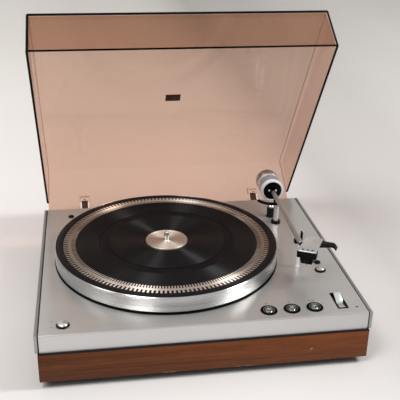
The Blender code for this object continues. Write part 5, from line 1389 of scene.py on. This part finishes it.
def make_cover():
    """A folded clear shell with dark cut edges, in the cover's own frame.

    Its rear wall goes down behind the deck and is notched round the hinge arms.
    """
    half_x, depth = 0.19425, 0.335
    low, top = COVER_LOW, COVER_LOW + 0.06405
    wall, wall_rear, round_out, round_in = 0.003, 0.002, 0.0028, 0.0012
    band, side_band = 0.0034, 0.0009
    splits = [NOTCHES[0][1], NOTCHES[0][0], NOTCHES[1][1], NOTCHES[1][0]]

    def outline(inset, radius, rear_inset):
        x, y_front, y_back = half_x - inset, COVER_BACK - depth + inset, COVER_BACK - rear_inset
        points = rounded_box(-x, x, y_front, y_back, radius, 4)
        rear = [(split, y_back) for split in splits]
        corner = x - radius - side_band
        return points[:10] + rear + points[10:] + [(-corner, y_front), (corner, y_front)]

    sections = [(0.0, low, round_out), (0.0, low + 0.0007, round_out), (0.0, low + NOTCH_RISE, round_out)]
    sections.append((0.0, top - round_out - band, round_out))
    for i in range(6):
        angle = math.radians(90 * i / 5)
        inset = round_out * (1 - math.cos(angle))
        z = top - round_out + round_out * math.sin(angle)
        sections.append((inset, z, max(0.0004, round_out - inset)))
    levels = (low, low + 0.0007, low + NOTCH_RISE, top - wall - round_in)
    inner_sections = [(wall, z, round_in) for z in levels]
    for i in range(1, 4):
        angle = math.radians(90 * i / 3)
        inset = wall + round_in * (1 - math.cos(angle))
        z = top - wall - round_in + round_in * math.sin(angle)
        inner_sections.append((inset, z, max(0.0003, round_in * math.cos(angle))))
    bm = bmesh.new()
    rings = [[bm.verts.new((x, y, z)) for x, y in outline(i, r, i)] for i, z, r in sections]
    inner = [
        [bm.verts.new((x, y, z)) for x, y in outline(i, r, i - wall + wall_rear)]
        for i, z, r in inner_sections
    ]
    for vert in rings[1] + inner[1]:
        if vert.co.y < COVER_BACK - depth + wall + round_out:
            vert.co.z -= 0.0003
    count = len(rings[0])
    front = count - 2
    strips, gaps = (9, 11, 13), (10, 12)
    clear, cut, pale, bend, side_wall, front_wall = range(6)
    corners = (0, 1, 2, 3, 19, 20, 21, 22, 23, 25)
    bends = (4, 5, 6, 7, 8, 14, 15, 16, 17, 18)
    edges = [i for i in range(count) if i not in (*strips, *gaps)]

    def quad(a, b, c, d, material):
        bm.faces.new((a, b, c, d)).material_index = material

    def skin(first, second, special=(), material=cut, skip=()):
        for i in range(count):
            if i not in skip:
                j = (i + 1) % count
                quad(first[i], first[j], second[j], second[i], material if i in special else clear)

    skin(rings[0], inner[0], edges, skip=(*strips, *gaps))
    skin(rings[0], rings[1], edges, skip=gaps)
    skin(inner[0], inner[1], edges, skip=gaps)
    skin(rings[1], rings[2], corners, skip=gaps)
    skin(inner[1], inner[2], bends[1:-1], bend, gaps)
    skin(rings[2], rings[3], corners)
    skin(inner[2], inner[3], bends[1:-1], bend)
    for face in (f for f in bm.faces if f.material_index == clear):
        centre = face.calc_center_median()
        if abs(centre.x) > half_x - wall - 0.0001:
            face.material_index = side_wall
        elif centre.y < COVER_BACK - depth + wall + 0.0001:
            face.material_index = front_wall
    for first, second in zip(rings[3:], rings[4:]):
        skin(first, second, (*corners, front))
    for first, second in zip(inner[3:], inner[4:]):
        skin(first, second, bends, bend)
    bm.faces.new(rings[-1])
    bm.faces.new(inner[-1])
    for i in gaps:
        quad(rings[2][i], rings[2][i + 1], inner[2][i + 1], inner[2][i], pale)
        for side in (i, i + 1):
            for row in (0, 1):
                quad(rings[row][side], rings[row + 1][side], inner[row + 1][side], inner[row][side], pale)
    drop = Vector((0, 0, LIP_DROP))
    for i in strips:
        first, second = (
            (out, within, bm.verts.new(within.co - drop), bm.verts.new(out.co - drop))
            for out, within in zip(rings[0][i:i + 2], inner[0][i:i + 2])
        )
        for a, b in ((0, 3), (1, 2), (2, 3)):
            quad(first[a], second[a], second[b], first[b], clear)
        for end, spot in ((first, i), (second, i + 1)):
            quad(*end, pale if spot in (10, 11, 12, 13) else clear)
    piece(
        "cover_shell", bm, [CLEAR, CUT_EDGE, PALE_EDGE, BEND, SIDE_WALL, FRONT_WALL], "lid", "dust_cover",
        slot="smoke_acrylic", matrix=LID, smooth=30,
    )


def make_hinge_arms():
    """Brown arms that end below the notches' tops, each held by a clear block on the rear wall."""
    top = COVER_LOW + 0.0022
    for side, (left, right) in zip(("right", "left"), NOTCHES):
        node = "hinge_arm_" + side
        bm = carry(solid(node), LID.inverted())
        bmesh.ops.remove_doubles(bm, verts=bm.verts, dist=WELD)
        bmesh.ops.bisect_plane(
            bm, geom=bm.verts[:] + bm.edges[:] + bm.faces[:],
            plane_co=(0, 0, top), plane_no=(0, 0, 1), clear_outer=True,
        )
        bmesh.ops.holes_fill(bm, edges=[e for e in bm.edges if e.is_boundary])
        clean(bm)
        tips = []
        for edge in bm.edges:
            a, b = (vert.co for vert in edge.verts)
            if all(abs(point.z - top) < WELD for point in (a, b)) and abs(a.x - b.x) < WELD:
                tips.append(edge)
        bevel(bm, tips, 0.0030, 5)
        soften(bm, 0.0003, 2)
        piece(node + "_shown", bm, HINGE_PLASTIC, "lid", node, slot="black_plastic", matrix=LID)
        y = COVER_BACK + HAIR
        margin = 0.0018
        block_low = (left - margin, y, top + 0.0001)
        block_high = (right + margin, y + 0.0045, COVER_LOW + NOTCH_RISE + 0.0030)
        holder = block(block_low, block_high)
        piece("hinge_block_" + side, holder, CLEAR, "lid", slot="smoke_acrylic", matrix=LID)
        face = COVER_BACK - 0.0020
        high = COVER_LOW + NOTCH_RISE
        brims = [
            block((x - 0.0006, face - 0.0003, COVER_LOW - LIP_DROP), (x + 0.0006, face, high + 0.0006))
            for x in (left - 0.0006, right + 0.0006)
        ]
        brims.append(block((left, face - 0.0003, high), (right, face, high + 0.0012)))
        piece("notch_brims_" + side, merge(*brims), PALE_EDGE, "lid", slot="smoke_acrylic", matrix=LID)


make_cover()
make_hinge_arms()
refined("lid_badge", PLATE, "lid", 0.0002, slot="dark_plate")


scene = bpy.context.scene
scene.view_settings.view_transform = "Standard"
